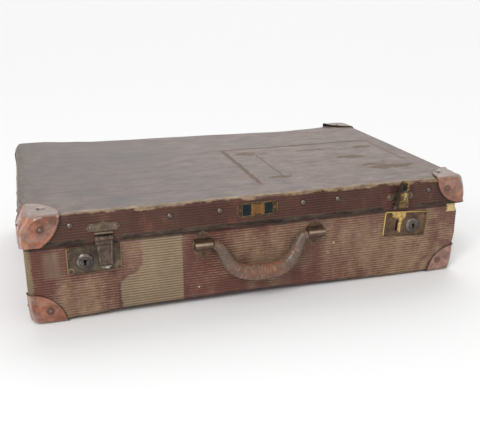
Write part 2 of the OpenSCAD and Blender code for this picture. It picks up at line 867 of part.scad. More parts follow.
module hasp_plate() {
    color("darkgoldenrod") difference() {
        union() {
            linear_extrude(plate_t) hasp_plate_outline();
            translate([0, roll_y, plate_t]) rotate([0, 90, 0])
                cylinder(r = roll_r, h = hasp_w, center = true);
            for (side = [-1, 1])
                translate([side * (hasp_w - end_knuckle) / 2, 0, hasp_out]) rotate([0, 90, 0])
                    cylinder(r = hasp_knuckle_r, h = end_knuckle, center = true);
        }
        translate([-hasp_w, -hasp_w, -hasp_w]) cube([2 * hasp_w, 2 * hasp_w, hasp_w]);
        cube([mid_knuckle + 2 * part_gap, 2 * (hasp_knuckle_r + part_gap), 2 * hasp_w], center = true);
        translate([0, 0, hasp_out]) rotate([0, 90, 0])
            cylinder(r = hasp_pin_r + run_gap, h = 2 * hasp_w, center = true);
        for (x = [-1, 1]) translate([x * ear_x, ear_y, 0]) drill(tack_shank_r, drill_depth);
    }
}

module hasp_plate_left() at_hasp(-1) hasp_plate();
module hasp_plate_right() at_hasp(1) hasp_plate();

module hasp_plate_rivets() {
    color("dimgray") at_hasp_rivets() translate([0, 0, plate_t]) tack(plate_t + behind_lid);
}

module hasp_pins() {
    color("gray") for (side = [-1, 1])
        at_hasp(side) translate([0, 0, hasp_out]) rotate([0, 90, 0])
            cylinder(r = hasp_pin_r, h = hasp_w + pin_extra, center = true);
}

// Lid leaf: knuckles 1 and 3, notched clear of the base leaf's
module hinge_lid_leaf(side) {
    step = hinge_len / knuckles;
    color("gray") difference() {
        at_hinge(side) difference() {
            union() {
                translate([-hinge_len / 2, 0, -hinge_out]) cube([hinge_len, hinge_leaf_h, hinge_leaf_t]);
                for (i = [1, 3]) {
                    knuckle(i, hinge_knuckle_r, part_gap / 2);
                    translate([-hinge_len / 2 + i * step + part_gap / 2, 0, -hinge_out])
                        cube([step - part_gap, hinge_knuckle_r / 2, hinge_out - hinge_pin_r]);
                }
            }
            for (i = [0, 2, 4])
                translate([-hinge_len / 2 + i * step - part_gap / 2, -over_cut, -hinge_out - over_cut])
                    cube([step + part_gap, over_cut + hinge_knuckle_r + part_gap,
                        hinge_leaf_t + 2 * over_cut]);
        }
        at_hinge(side) hinge_bore();
        at_hinge_rivets(1, 0) drill(tack_shank_r, drill_depth);
    }
}

module hinge_lid_leaf_left() hinge_lid_leaf(1);
module hinge_lid_leaf_right() hinge_lid_leaf(-1);

module hinge_lid_rivets() {
    color("gray") at_hinge_rivets(1, hinge_leaf_t - hinge_out) tack(hinge_leaf_t + behind_lid);
}

module hinge_pins() {
    color("silver") for (side = [-1, 1])
        at_hinge(side) rotate([0, 90, 0])
            cylinder(r = hinge_pin_r, h = hinge_len + pin_extra, center = true);
}

// Handle, in its own plane: x across, y down from the pins as negative, z outward
// Half of the grip's centre line, from the middle of the bar out to the pin
function grip_point(t) =
    t < 0.4 ? [t / 0.4 * (bar_corner_x - bend_start), -grip_drop]
    : t < 0.7 ? bend_point((t - 0.4) / 0.3)
    : leg_point((t - 0.7) / 0.3);
function leg_point(u) =
    let (drop = (grip_drop - bend_start * 0.84) * (1 - u) + 3 * u)
    [bend_x - drop * leg_slope, -drop];
function bend_point(u) =
    let (a = [bar_corner_x - bend_start, -grip_drop], c = [bar_corner_x, -grip_drop], b = leg_point(0))
    a * (1 - u) * (1 - u) + c * 2 * u * (1 - u) + b * u * u;
function grip_radius(t) = grip_end_r + (grip_mid_r - grip_end_r) * pow(cos(90 * t), 0.8);

module at_handle() {
    on_wall(0, base_d / 2) translate([0, barrel_z, barrel_out]) rotate([-handle_lean, 0, 0])
        children();
}

// Chain of rounded links along the grip's centre line, on both sides of the middle
module grip_chain(side) {
    for (i = [0 : grip_steps - 1]) {
        a = i / grip_steps;
        b = (i + 1) / grip_steps;
        hull() {
            translate([side * grip_point(a)[0], grip_point(a)[1], 0])
                sphere(grip_radius(a), $fn = 20);
            translate([side * grip_point(b)[0], grip_point(b)[1], 0])
                sphere(grip_radius(b), $fn = 20);
        }
    }
}

// The steel rod in the handle's plane, straight links with balls at its four bends
module core_rod(r) {
    turn = atan2(1, leg_slope);
    leg = norm([bend_x - bar_corner_x, grip_drop]);
    translate([-bar_corner_x, -grip_drop, 0]) rotate([0, 90, 0])
        cylinder(r = r, h = 2 * bar_corner_x);
    for (side = [0, 1]) mirror([side, 0, 0]) {
        translate([bar_corner_x, -grip_drop, 0]) {
            sphere(r + ball_extra);
            rotate([0, 0, turn]) rotate([0, 90, 0]) cylinder(r = r, h = leg);
        }
        translate([bend_x, 0, 0]) {
            sphere(r + ball_extra);
            rotate([0, 90, 0]) cylinder(r = r, h = pin_end - bend_x);
        }
    }
}

module handle_core() {
    color("gray") at_handle() core_rod(core_r);
}

module handle_grip() {
    color("saddlebrown") at_handle() difference() {
        union() {
            grip_chain(-1);
            grip_chain(1);
        }
        core_rod(core_r + lay_gap, $fn = 24);
        for (side = [-1, 1])
            translate([side * (grip_cut_x + grip_drop / 2), 0, 0]) cube(grip_drop, center = true);
    }
}

// Flap, drawn hanging from its pin: x along the pin, y up, z outward; it tapers to its round tip
module flap_outline() {
    tip_y = flap_tip_r - flap_len;
    top = -hasp_knuckle_r - 2 * part_gap;
    rise = top - shoulder_h - tip_y;
    taper = atan2(flap_w / 2, rise) - asin(flap_tip_r / norm([flap_w / 2, rise]));
    side = [flap_tip_r * cos(taper), tip_y - flap_tip_r * sin(taper)];
    translate([0, tip_y]) circle(flap_tip_r);
    polygon([[-flap_w / 2, top - shoulder_h], [-side[0], side[1]], side, [flap_w / 2, top - shoulder_h]]);
    translate([-hasp_w / 2, top - shoulder_h]) square([hasp_w, shoulder_h]);
    translate([-mid_knuckle / 2, top - over_cut]) square([mid_knuckle, over_cut - top]);
}

module hasp_flap() {
    color("goldenrod") difference() {
        union() {
            translate([0, 0, -flap_in]) linear_extrude(flap_t) flap_outline();
            rotate([0, 90, 0]) cylinder(r = hasp_knuckle_r, h = mid_knuckle, center = true);
            translate([0, lip_r - flap_len, flap_t - flap_in]) rotate([0, 90, 0])
                cylinder(r = lip_r, h = flap_tip_r, center = true);
        }
        translate([-flap_w, -2 * flap_len, -flap_in - flap_w]) cube([2 * flap_w, 2 * flap_len, flap_w]);
        rotate([0, 90, 0]) cylinder(r = hasp_pin_r + run_gap, h = 2 * hasp_w, center = true);
    }
}

// Hooked staple on a foot plate, reaching in from the flap to the bolt
module hasp_staple() {
    eye_y = -(hasp_z - lock_z);
    eye_half = nose_half_h + staple_eye_gap;
    low = eye_y - staple_low;
    high = eye_y + staple_high;
    foot_back = -flap_in - staple_foot_t / 2;
    color("gray") {
        translate([-staple_foot_w / 2, low - foot_edge, -flap_in - staple_foot_t])
            cube([staple_foot_w, high - low + 2 * foot_edge, staple_foot_t]);
        translate([staple_t / 2, 0, 0]) rotate([0, -90, 0]) linear_extrude(staple_t)
            difference() {
                polygon([[foot_back, low], [foot_back, high], [foot_back - staple_neck, high],
                    [-staple_nose, eye_y + foot_edge], [-staple_nose, low]]);
                translate([-bolt_front - bolt_t - bolt_gap, eye_y - eye_half])
                    square([bolt_t + 2 * bolt_gap, 2 * eye_half + staple_high]);
            }
    }
}

module at_flap(side, throw) {
    at_hasp(side) translate([0, 0, hasp_out]) rotate([-throw, 0, 0]) children();
}

module hasp_flap_left() at_flap(-1, left_lean) hasp_flap();
module hasp_flap_right() at_flap(1, right_throw) hasp_flap();
module hasp_staple_left() at_flap(-1, left_lean) hasp_staple();
module hasp_staple_right() at_flap(1, right_throw) hasp_staple();

// Key plug: head with a keyhole, a thin shaft, and the cam that moves the bolt
module key_plug() {
    head_face = plate_t + boss_h - plug_sink;
    cam_back = bolt_gap + bolt_t;
    color("silver") translate([plug_offset, 0, 0]) difference() {
        union() {
            translate([0, 0, bolt_gap]) cylinder(r = plug_r, h = head_face - bolt_gap);
            translate([0, 0, -lock_case_depth]) cylinder(r = shaft_r, h = lock_case_depth + over_cut);
            translate([0, 0, -cam_back]) rotate([0, 0, -cam_turn]) {
                translate([-cam_neck_w / 2, 0, 0]) cube([cam_neck_w, cam_r, bolt_t]);
                translate([0, cam_r, 0]) cylinder(r = cam_tip_r, h = bolt_t);
            }
        }
        translate([0, keyhole_y, head_face - keyhole_depth]) cylinder(r = keyhole_r, h = boss_h);
        translate([-keyhole_w / 2, -keyhole_low, head_face - keyhole_depth])
            cube([keyhole_w, keyhole_low + keyhole_y, boss_h]);
    }
}

module key_plug_left() at_lock(-1) key_plug();
module key_plug_right() at_lock(1) key_plug();

// Bolt, drawn back: nose at the slot, riser, and a bar over the plug's shaft with the cam's yoke
module lock_bolt() {
    yoke_x = plug_offset + bolt_travel / 2;
    yoke_half = cam_tip_r + yoke_gap;
    color("silver") translate([0, 0, -bolt_gap - bolt_t]) linear_extrude(bolt_t) difference() {
        union() {
            translate([nose_end, -nose_half_h]) square([riser_end - nose_end - 1, 2 * nose_half_h]);
            translate([riser_start, -nose_half_h])
                square([riser_end - riser_start, bar_high + nose_half_h]);
            translate([riser_start, bar_low]) square([bar_end - riser_start, bar_high - bar_low]);
        }
        translate([yoke_x - yoke_half, 0]) square([2 * yoke_half, cam_r + cam_tip_r + yoke_gap]);
    }
}

module lock_bolt_left() at_lock(-1) lock_bolt();
module lock_bolt_right() at_lock(1) lock_bolt();

base_tray();
base_frame_front();
base_frame_back();
base_frame_left();
base_frame_right();
base_lining();
base_corner_front_left();
base_corner_front_right();
base_corner_back_left();
base_corner_back_right();
base_corner_rivets();
lock_plate_left();
lock_plate_right();
lock_boss_left();
lock_boss_right();
lock_case_left();
lock_case_right();
lock_plate_rivets();
handle_bracket_left();
handle_bracket_right();
handle_bracket_rivets();
hinge_base_leaf_left();
hinge_base_leaf_right();
hinge_base_rivets();
lid_tray();
lid_frame_front();
lid_frame_back();
lid_frame_left();
lid_frame_right();
lid_lining();
lid_rim_binding();
lid_corner_front_left();
lid_corner_front_right();
lid_corner_back_left();
lid_corner_back_right();
lid_corner_rivets();
lid_frame_rivets();
name_plate();
name_plate_enamel();
name_plate_nails();
hasp_plate_left();
hasp_plate_right();
hasp_plate_rivets();
hasp_pins();
hinge_lid_leaf_left();
hinge_lid_leaf_right();
hinge_lid_rivets();
hinge_pins();
handle_core();
handle_grip();
hasp_flap_left();
hasp_staple_left();
hasp_flap_right();
hasp_staple_right();
key_plug_left();
key_plug_right();
lock_bolt_left();
lock_bolt_right();
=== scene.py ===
# Old ribbed fibreboard suitcase with leather corners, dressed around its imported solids.
import json
import math

import bmesh
import bpy
from mathutils import Matrix, Vector


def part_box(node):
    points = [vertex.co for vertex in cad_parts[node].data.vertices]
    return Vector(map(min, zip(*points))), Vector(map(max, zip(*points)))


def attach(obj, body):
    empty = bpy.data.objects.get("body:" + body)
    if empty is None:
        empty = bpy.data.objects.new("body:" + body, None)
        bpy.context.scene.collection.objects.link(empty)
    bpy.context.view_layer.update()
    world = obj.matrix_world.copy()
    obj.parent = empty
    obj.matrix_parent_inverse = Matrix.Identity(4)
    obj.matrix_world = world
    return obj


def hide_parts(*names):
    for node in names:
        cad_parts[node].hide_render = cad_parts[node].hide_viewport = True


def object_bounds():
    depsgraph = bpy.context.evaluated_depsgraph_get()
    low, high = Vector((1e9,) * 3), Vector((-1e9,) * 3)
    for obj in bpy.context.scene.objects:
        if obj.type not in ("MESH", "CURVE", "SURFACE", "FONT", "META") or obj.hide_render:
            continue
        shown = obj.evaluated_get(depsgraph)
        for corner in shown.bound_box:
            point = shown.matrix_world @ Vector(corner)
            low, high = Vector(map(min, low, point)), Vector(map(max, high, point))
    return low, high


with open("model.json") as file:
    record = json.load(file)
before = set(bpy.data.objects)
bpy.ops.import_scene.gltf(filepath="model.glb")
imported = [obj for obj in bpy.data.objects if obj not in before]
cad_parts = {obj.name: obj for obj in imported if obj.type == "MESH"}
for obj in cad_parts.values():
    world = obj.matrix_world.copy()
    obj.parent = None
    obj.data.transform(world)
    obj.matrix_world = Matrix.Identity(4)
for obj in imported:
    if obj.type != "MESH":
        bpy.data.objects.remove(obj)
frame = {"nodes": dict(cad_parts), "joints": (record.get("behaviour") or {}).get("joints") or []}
nodes = frame["nodes"]
cad_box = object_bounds()
MM = 0.001

# Walls of the case, from its solids, and sizes of what is laid on them
base_low, base_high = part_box("base_tray")
lid_low, lid_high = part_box("lid_tray")
joint_at = {j["name"]: Vector(j["pos_m"]) for j in frame["joints"] if "pos_m" in j}
mid_y = (base_low.y + base_high.y) / 2
front_y = base_low.y
lid_front_y = lid_low.y
rim_z = base_high.z
CORNER_R = 8 * MM
EDGE_R = 5.5 * MM
BOARD_T = 2.6 * MM
RIB_PITCH = 3.5 * MM
BOARD_CELL = 13 * MM
RIVET_IN = 25 * MM
RIVET_UP = 16 * MM
LOCK_TURN = math.radians(4.5)
RULE_PITCH = 2.2 * MM
CHECK_PITCH = 12 * MM
WARP_PITCH = math.tau / 5200
WEFT_PITCH = math.tau / 6000
LEATHER_CELL = 0.75 * MM
LEATHER_T = 1.6 * MM
FLARE_W = 5.5 * MM
DISH_R = 9 * MM
LEATHER_MARKS = ("rim", "grime", "ridge", "dust")
SIDES = ("left", "right")


def middle_of(node):
    low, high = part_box(node)
    return (low + high) / 2


def new_object(name, data):
    made = bpy.data.objects.new(name, data)
    bpy.context.scene.collection.objects.link(made)
    return made


# Camera, solved from the corners of the case: millimetres, degrees and metres
LENS = 51.76
SENSOR_WIDTH = 36
CAMERA_TURNS = ((-16.969, "Z"), (-19.591, "X"), (0.247, "Y"))
CAMERA_PLACE = (-0.27482, -1.00045, 0.41143)


def make_camera():
    data = bpy.data.cameras.new("camera")
    data.lens = LENS
    data.sensor_width = SENSOR_WIDTH
    camera = new_object("camera", data)
    yaw, pitch, roll = [Matrix.Rotation(math.radians(turn), 4, axis) for turn, axis in CAMERA_TURNS]
    level = Matrix.Rotation(math.radians(90), 4, "X")
    place = Matrix.Translation(CAMERA_PLACE)
    camera.matrix_world = place @ yaw @ pitch @ roll @ level
    bpy.context.scene.camera = camera


make_camera()


# Selecting and shaping, as by hand
def only(piece):
    if bpy.context.object and bpy.context.object.mode != "OBJECT":
        bpy.ops.object.mode_set(mode="OBJECT")
    bpy.ops.object.select_all(action="DESELECT")
    piece.select_set(True)
    bpy.context.view_layer.objects.active = piece


def open_edit(piece):
    only(piece)
    bpy.ops.object.mode_set(mode="EDIT")


def close_edit():
    bpy.ops.object.mode_set(mode="OBJECT")


def pick(piece, kind, test):
    """In edit mode, selects each element whose middle and direction pass the test."""
    bpy.ops.mesh.select_mode(type=kind)
    bpy.ops.mesh.select_all(action="DESELECT")
    mesh = bmesh.from_edit_mesh(piece.data)
    if kind == "VERT":
        for v in mesh.verts:
            v.select_set(test(v.co, v.normal))
    if kind == "EDGE":
        for e in mesh.edges:
            a, b = e.verts[0].co, e.verts[1].co
            e.select_set(test((a + b) / 2, (b - a).normalized()))
    if kind == "FACE":
        for f in mesh.faces:
            f.select_set(test(f.calc_center_median(), f.normal))
    bmesh.update_edit_mesh(piece.data)


def modify(piece, kind, **settings):
    """Adds a modifier, sets it and applies it."""
    only(piece)
    made = piece.modifiers.new(kind.lower(), kind)
    for key, value in settings.items():
        setattr(made, key, value)
    bpy.ops.object.modifier_apply(modifier=made.name)


def box(name, low, high):
    bpy.ops.object.select_all(action="DESELECT")
    low, high = Vector(low), Vector(high)
    bpy.ops.mesh.primitive_cube_add(size=1, location=(low + high) / 2)
    piece = bpy.context.object
    piece.name = name
    piece.scale = high - low
    bpy.ops.object.transform_apply(location=True, rotation=True, scale=True)
    return piece


def smooth(piece, degrees=40):
    only(piece)
    bpy.ops.object.shade_smooth_by_angle(angle=math.radians(degrees))


def uneven(piece, size, strength):
    """Pushes the surface in and out by a soft noise."""
    texture = bpy.data.textures.new(piece.name + "_uneven", "CLOUDS")
    texture.noise_scale = size
    modify(piece, "DISPLACE", texture=texture, strength=strength, mid_level=0.5, texture_coords="LOCAL")


def coat(piece, *finishes):
    piece.data.materials.clear()
    for finish in finishes:
        piece.data.materials.append(finish.material)


def dress(piece, finish, body, node):
    """Gives a finished piece its finish and body, and hides the node that it stands for."""
    coat(piece, finish)
    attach(piece, body)
    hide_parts(node)


# Materials
def paint(code):
    """Linear colour of a six-digit sRGB code."""
    parts = [int(code[i:i + 2], 16) / 255 for i in (0, 2, 4)]
    return [p / 12.92 if p <= 0.04045 else ((p + 0.055) / 1.055) ** 2.4 for p in parts] + [1]


def math_method(kind):
    """A method that adds one Math node."""
    return lambda *values: values[0].maths(kind, *values)


class Value:
    """A socket in a node tree. Arithmetic on it adds Math nodes."""

    def __init__(self, tree, socket):
        self.tree = tree
        self.socket = socket

    def maths(self, operation, *values, clamp=False):
        settings = {"operation": operation, "use_clamp": clamp}
        return self.tree.node("ShaderNodeMath", settings, dict(enumerate(values)))

    __add__ = __radd__ = math_method("ADD")
    __sub__ = math_method("SUBTRACT")
    __mul__ = __rmul__ = math_method("MULTIPLY")
    __truediv__ = math_method("DIVIDE")
    abs = math_method("ABSOLUTE")
    larger = math_method("MAXIMUM")
    power = math_method("POWER")

    def __rsub__(self, other):
        return self.maths("SUBTRACT", other, self)

    def clamped(self):
        return self.maths("ADD", self, 0, clamp=True)

    def wave(self, pitch):
        return self.maths("COSINE", self * (math.tau / pitch))

    def square(self, other):
        """Square of the distance from where this value and the other are 0."""
        return self * self + other * other

    def ramp(self, gain, less):
        """The value times the gain, less a bit, held between 0 and 1."""
        return (self * gain - less).clamped()

    def above(self, edge, soft):
        """0 below the edge and 1 above it, with a soft step."""
        ends = {"Value": self, "From Min": edge - soft, "From Max": edge + soft}
        return self.tree.node("ShaderNodeMapRange", {"interpolation_type": "SMOOTHSTEP"}, ends)

    def below(self, edge, soft):
        return 1 - self.above(edge, soft)

    def between(self, low, high, soft):
        return self.above(low, soft) * self.below(high, soft)


class Finish:
    """A material with one Principled shader."""

    def __init__(self, name, **plain):
        self.material = bpy.data.materials.new(name)
        self.material.use_nodes = True
        self.tree = self.material.node_tree
        self.shader = self.tree.nodes["Principled BSDF"]
        self.place = self.node("ShaderNodeTexCoord", output="Object")
        for key, value in plain.items():
            self.set(key.replace("_", " ").title().replace("Ior", "IOR"), value)

    def node(self, kind, settings=None, inputs=None, output=0):
        made = self.tree.nodes.new(kind)
        for key, value in (settings or {}).items():
            setattr(made, key, value)
        for key, value in (inputs or {}).items():
            if isinstance(value, Value):
                self.tree.links.new(value.socket, made.inputs[key])
            else:
                made.inputs[key].default_value = value
        return Value(self, made.outputs[output])

    def set(self, key, value):
        if isinstance(value, Value):
            self.tree.links.new(value.socket, self.shader.inputs[key])
        else:
            self.shader.inputs[key].default_value = value

    def axis(self, letter):
        return self.node("ShaderNodeSeparateXYZ", None, {0: self.place}, output=letter)

    def mark(self, key):
        """Value of one of the piece's own attributes."""
        return self.node("ShaderNodeAttribute", {"attribute_name": key}, output="Fac")

    def about(self, point):
        """X and Z, measured from a point."""
        return self.axis("X") - point.x, self.axis("Z") - point.z

    def noise(self, scale, detail=3, rough=0.55, stretch=(1, 1, 1), twist=0):
        place = self.node("ShaderNodeMapping", None, {"Vector": self.place, "Scale": stretch})
        return self.node("ShaderNodeTexNoise", None,
                         {"Vector": place, "Scale": scale, "Detail": detail,
                          "Roughness": rough, "Distortion": twist})

    def noises(self, *kinds):
        """One noise for each scale, detail and roughness."""
        return [self.noise(*kind) for kind in kinds]

    def cells(self, scale, output=0):
        return self.node("ShaderNodeTexVoronoi", None, {"Vector": self.place, "Scale": scale}, output)

    def mix(self, first, second, share):
        """First colour where the share is 0, second where it is 1. Codes may stand for colours."""
        first, second = [paint(c) if isinstance(c, str) else c for c in (first, second)]
        return self.node("ShaderNodeMix", {"data_type": "RGBA"},
                         {0: share, 6: first, 7: second}, output=2)

    def over(self, colour, share):
        """Lays a colour over the body colour."""
        self.body = self.mix(self.body, colour, share)

    def done(self, roughness, height, depth):
        """Connects the body colour, the roughness and a bump, and gives the finish back."""
        self.set("Base Color", self.body)
        self.set("Roughness", roughness)
        bump = {"Height": height, "Distance": depth, "Strength": 1}
        self.set("Normal", self.node("ShaderNodeBump", None, bump))
        return self


# Finish of the ribbed board on the walls of both halves
def rib_line(f, first_rib):
    """1 on a rib's crest and 0 in the groove beside it: sharp, and faded where it has worn flat."""
    height = f.axis("Z") + (f.noise(14, 2) - 0.5) * 0.0011
    rib = (height - first_rib).wave(RIB_PITCH) * -0.5 + 0.5
    kept = f.noise(24, 4, 0.6, (1, 1, 2)).ramp(3.2, 0.85)
    return rib, (rib - 0.5) * kept + 0.5


def base_board():
    f = Finish("base_board", specular_ior_level=0.3)
    x, y, z = [f.axis(letter) for letter in "XYZ"]
    sharp, rib = rib_line(f, first_base_rib)
    cloud = f.noise(9, 5, 0.6, (1, 1, 0.8))
    smear = f.noise(38, 4, 0.65, (1, 1, 0.3))
    swirl = f.noise(24, 5, 0.65, twist=1.6)
    dash = f.noise(85, 5, 0.8, (1, 1, 5))
    grain = f.noise(700, 3, 0.85, (1, 1, 1.3))
    red = f.mix("44241f", "7d5248", rib * 0.5 + grain * 1.7 + smear * 0.6 - 0.92)
    red = f.mix(red, "7f6155", cloud.ramp(3.4, 1.35) * 0.6)
    tan = f.mix("7c6551", "ad9675", grain * 2.6 + rib * 0.3 - 0.9)
    # More of the pale board shows to the right of the handle and low on the left
    right = x.between(0.075, 0.262, 0.045) * z.below(0.096, 0.02)
    corner = x.above(0.235, 0.02) * swirl.ramp(5, 2.2)
    low_left = x.between(-0.27, -0.19, 0.012) * z.below(0.055, 0.012)
    behind_grip = x.between(-0.07, 0.055, 0.03) * z.between(0.03, 0.1, 0.012)
    share = rib * 0.42 + dash * 1.6 + smear * 1.15 + cloud * 1.1 + swirl * 0.5 + right * 0.32
    share = ((share + low_left * 0.38 + behind_grip * 0.3 + corner * 0.35 - 2.4) * 1.5).clamped()
    f.body = f.mix(red, tan, share * 0.85)
    # Bare patch on the front, left of the handle, with torn edges
    ragged = (f.noise(140, 4, stretch=(1, 1, 1.6)) - 0.5) * 0.013
    left_edge = z.below(0.0535, 0.012) * -0.0295 - 0.1572
    torn = (x + ragged - left_edge).above(0, 0.0008) * (x + ragged * 0.08).below(-0.105, 0.0009)
    patch = torn * y.below(front_y + 0.004, 0.001) * (z + ragged * 0.2).below(0.1015, 0.001)
    pale = (sharp * 0.8 + dash * 1.1 + smear * 0.7 - 0.9).clamped()
    bare = f.mix("6b5c4d", f.mix("998467", "b39d7c", grain), pale)
    f.over(bare, patch * 0.95)
    # Shade where a label once kept the light off, and the line where another ended
    shade = x.between(-0.279, -0.260, 0.004) * z.between(0.060, 0.095, 0.004)
    f.over("7c6a59", shade * smear.ramp(2, 0.35))
    dark_line = (x + ragged * 0.1 + 0.188).abs().below(0.0016, 0.0014) * z.below(0.045, 0.012)
    f.over("493631", dark_line * 0.6)
    # Cloth strip worn down to grey along the upright edge at the left
    near_front = (y + ragged * 0.6).below(front_y + 0.011, 0.0015)
    strip = (x + ragged * 0.5).below(-0.2925, 0.0012) * near_front
    cloth = f.mix("5a4d3d", "978868", grain * 2 + smear * 2.2 - 1.6)
    f.over(cloth, strip * (0.35 + cloud).clamped())
    # Painted shadow under the lid's rim, and a pale bit of board laid bare below it at the right
    painted_shade_below = (z + ragged * 0.3).above(0.0995, 0.0022)
    f.over("241b18", painted_shade_below * 0.72)
    bit = (x + ragged * 0.9).above(0.2838, 0.0008) * (z + ragged * 0.6).above(0.0912, 0.0008) * near_front
    f.over(f.mix("b08f55", "e0cd9c", grain * 2 - 0.5), bit)
    foot = (z + ragged * 0.4).below(base_low.z + 0.0025, 0.002)
    f.over("8a7763", foot * x.abs().below(0.23, 0.03) * 0.35)
    # Light specks where the surface has chipped
    chip = f.cells(62).below(0.055, 0.02) * f.cells(62, output=1).above(0.86, 0.02)
    f.over("b9ab96", chip * 0.6)
    for at_x, at_z, size in ((-0.084, 0.024, 0.0012), (0.108, 0.064, 0.0012), (0.1, 0.051, 0.0008)):
        across, up = x - at_x, z - at_z
        speck = across.square(up).below(size * size, size * size * 0.5)
        f.over("cfc3b0", speck * 0.85)
    return f.done(0.68 - rib * 0.1 + grain * 0.14, grain + dash * 0.8, 0.0004)


def worn_edge(f, streak, grain):
    """Colours of the folded edge where the covering is rubbed through."""
    pale = f.mix("5d4a3a", "a28c6e", streak * 3.6 - 1.3)
    pale = f.mix(pale, "a67a50", grain.ramp(5, 2.8) * 0.7)
    return f.mix(pale, "3c2a22", grain.ramp(-4.4, -1.95) * 0.85)


def lid_board():
    f = Finish("lid_board", specular_ior_level=0.3)
    x, y, z = [f.axis(letter) for letter in "XYZ"]
    sharp, rib = rib_line(f, first_lid_rib)
    cloud = f.noise(11, 5, 0.6)
    dash = f.noise(85, 5, 0.8, (1, 1, 5))
    smear = f.noise(44, 4, 0.65, (1, 1, 0.35))
    grain = f.noise(800, 3, 0.85, (1, 1, 1.3))
    red = f.mix("2d1a17", "6a4135", sharp * 0.22 + rib * 0.34 + grain * 1.6 + smear * 0.6 - 1.02)
    red = f.mix(red, "5a4034", cloud.ramp(3.4, 1.4) * 0.55)
    red = f.mix(red, "8a4d3a", smear.ramp(4, 2.3) * 0.45)
    tan = f.mix("6f5a4a", "a08b74", grain)
    share = ((rib * 0.5 + dash * 1.6 + smear * 0.9 + cloud * 0.9 - 2.3) * 1.5).clamped()
    f.body = f.mix(red, tan, share * 0.65)
    # The folded top edge is worn through to the pale board
    streak = f.noise(60, 5, 0.75, (1, 1, 2.5))
    spots = f.noise(150, 4, 0.75, (1, 1, 2))
    wide = f.noise(17, 3)
    ragged = (streak - 0.5) * 0.012 + (wide - 0.5) * 0.012
    edge = (z + ragged).above(lid_high.z - 0.003, 0.0009)
    f.over(worn_edge(f, streak, spots), edge * 0.85)
    below_edge = (z + ragged).between(lid_high.z - 0.0125, lid_high.z - 0.003, 0.002)
    f.over("9c876d", below_edge * spots.ramp(7, 4.6) * 0.7)
    # Painted shade in a ring round each rivet of the front
    rivet_shade_rings = None
    for at_x in (-243, -120, -55, 60, 110, 249):
        across, up = x - at_x * MM, z - (rim_z + 24.6 * MM)
        far = across.square(up).power(0.5)
        ring = far.between(2.6 * MM, 4.6 * MM, 0.7 * MM)
        rivet_shade_rings = ring if rivet_shade_rings is None else rivet_shade_rings.larger(ring)
    f.over("2b1d1a", rivet_shade_rings * y.below(lid_front_y + 0.004, 0.001) * 0.55)
    scratch = f.noise(210, 2, stretch=(1, 1, 0.3)).above(0.77, 0.02) * wide.above(0.52, 0.04)
    f.over("a4948a", scratch * 0.5)
    # Painted highlight: the lid's left end wall made pale grey
    end_wall = x.below(lid_low.x + 0.004, 0.001)
    f.over("8b8583", end_wall * (0.45 + cloud * 0.6).clamped())
    return f.done(0.58 - rib * 0.08 + grain * 0.14, grain + dash * 0.8 + edge * spots, 0.0004)


# Lines across the lid's top: wobble, place, half width, softness, both ends, their softness and strength
TOP_LINES = ((1.5, 0.0175, 0.0034, 0.0022, -0.15, 0.05, 0.01, 1),
             (1, 0.061, 0.0014, 0.0012, -0.133, 0.006, 0.006, 0.8),
             (0.6, 0.272, 0.0016, 0.0014, -0.09, 0.05, 0.02, 0.7))

# Worn spots of the lid's top: middle, half width and half depth in millimetres, and strength
WORN_SPOTS = ((48, 21, 15, 8, 0.9), (60, 9, 26, 3, 0.7), (56, -124, 18, 7, 1), (199, -49, 26, 9, 0.9),
              (160, 12, 30, 5, 0.6), (233, -118, 34, 10, 1), (215, -100, 20, 6, 0.8),
              (244, 7, 14, 8, 0.9), (120, -60, 30, 3, 0.5))


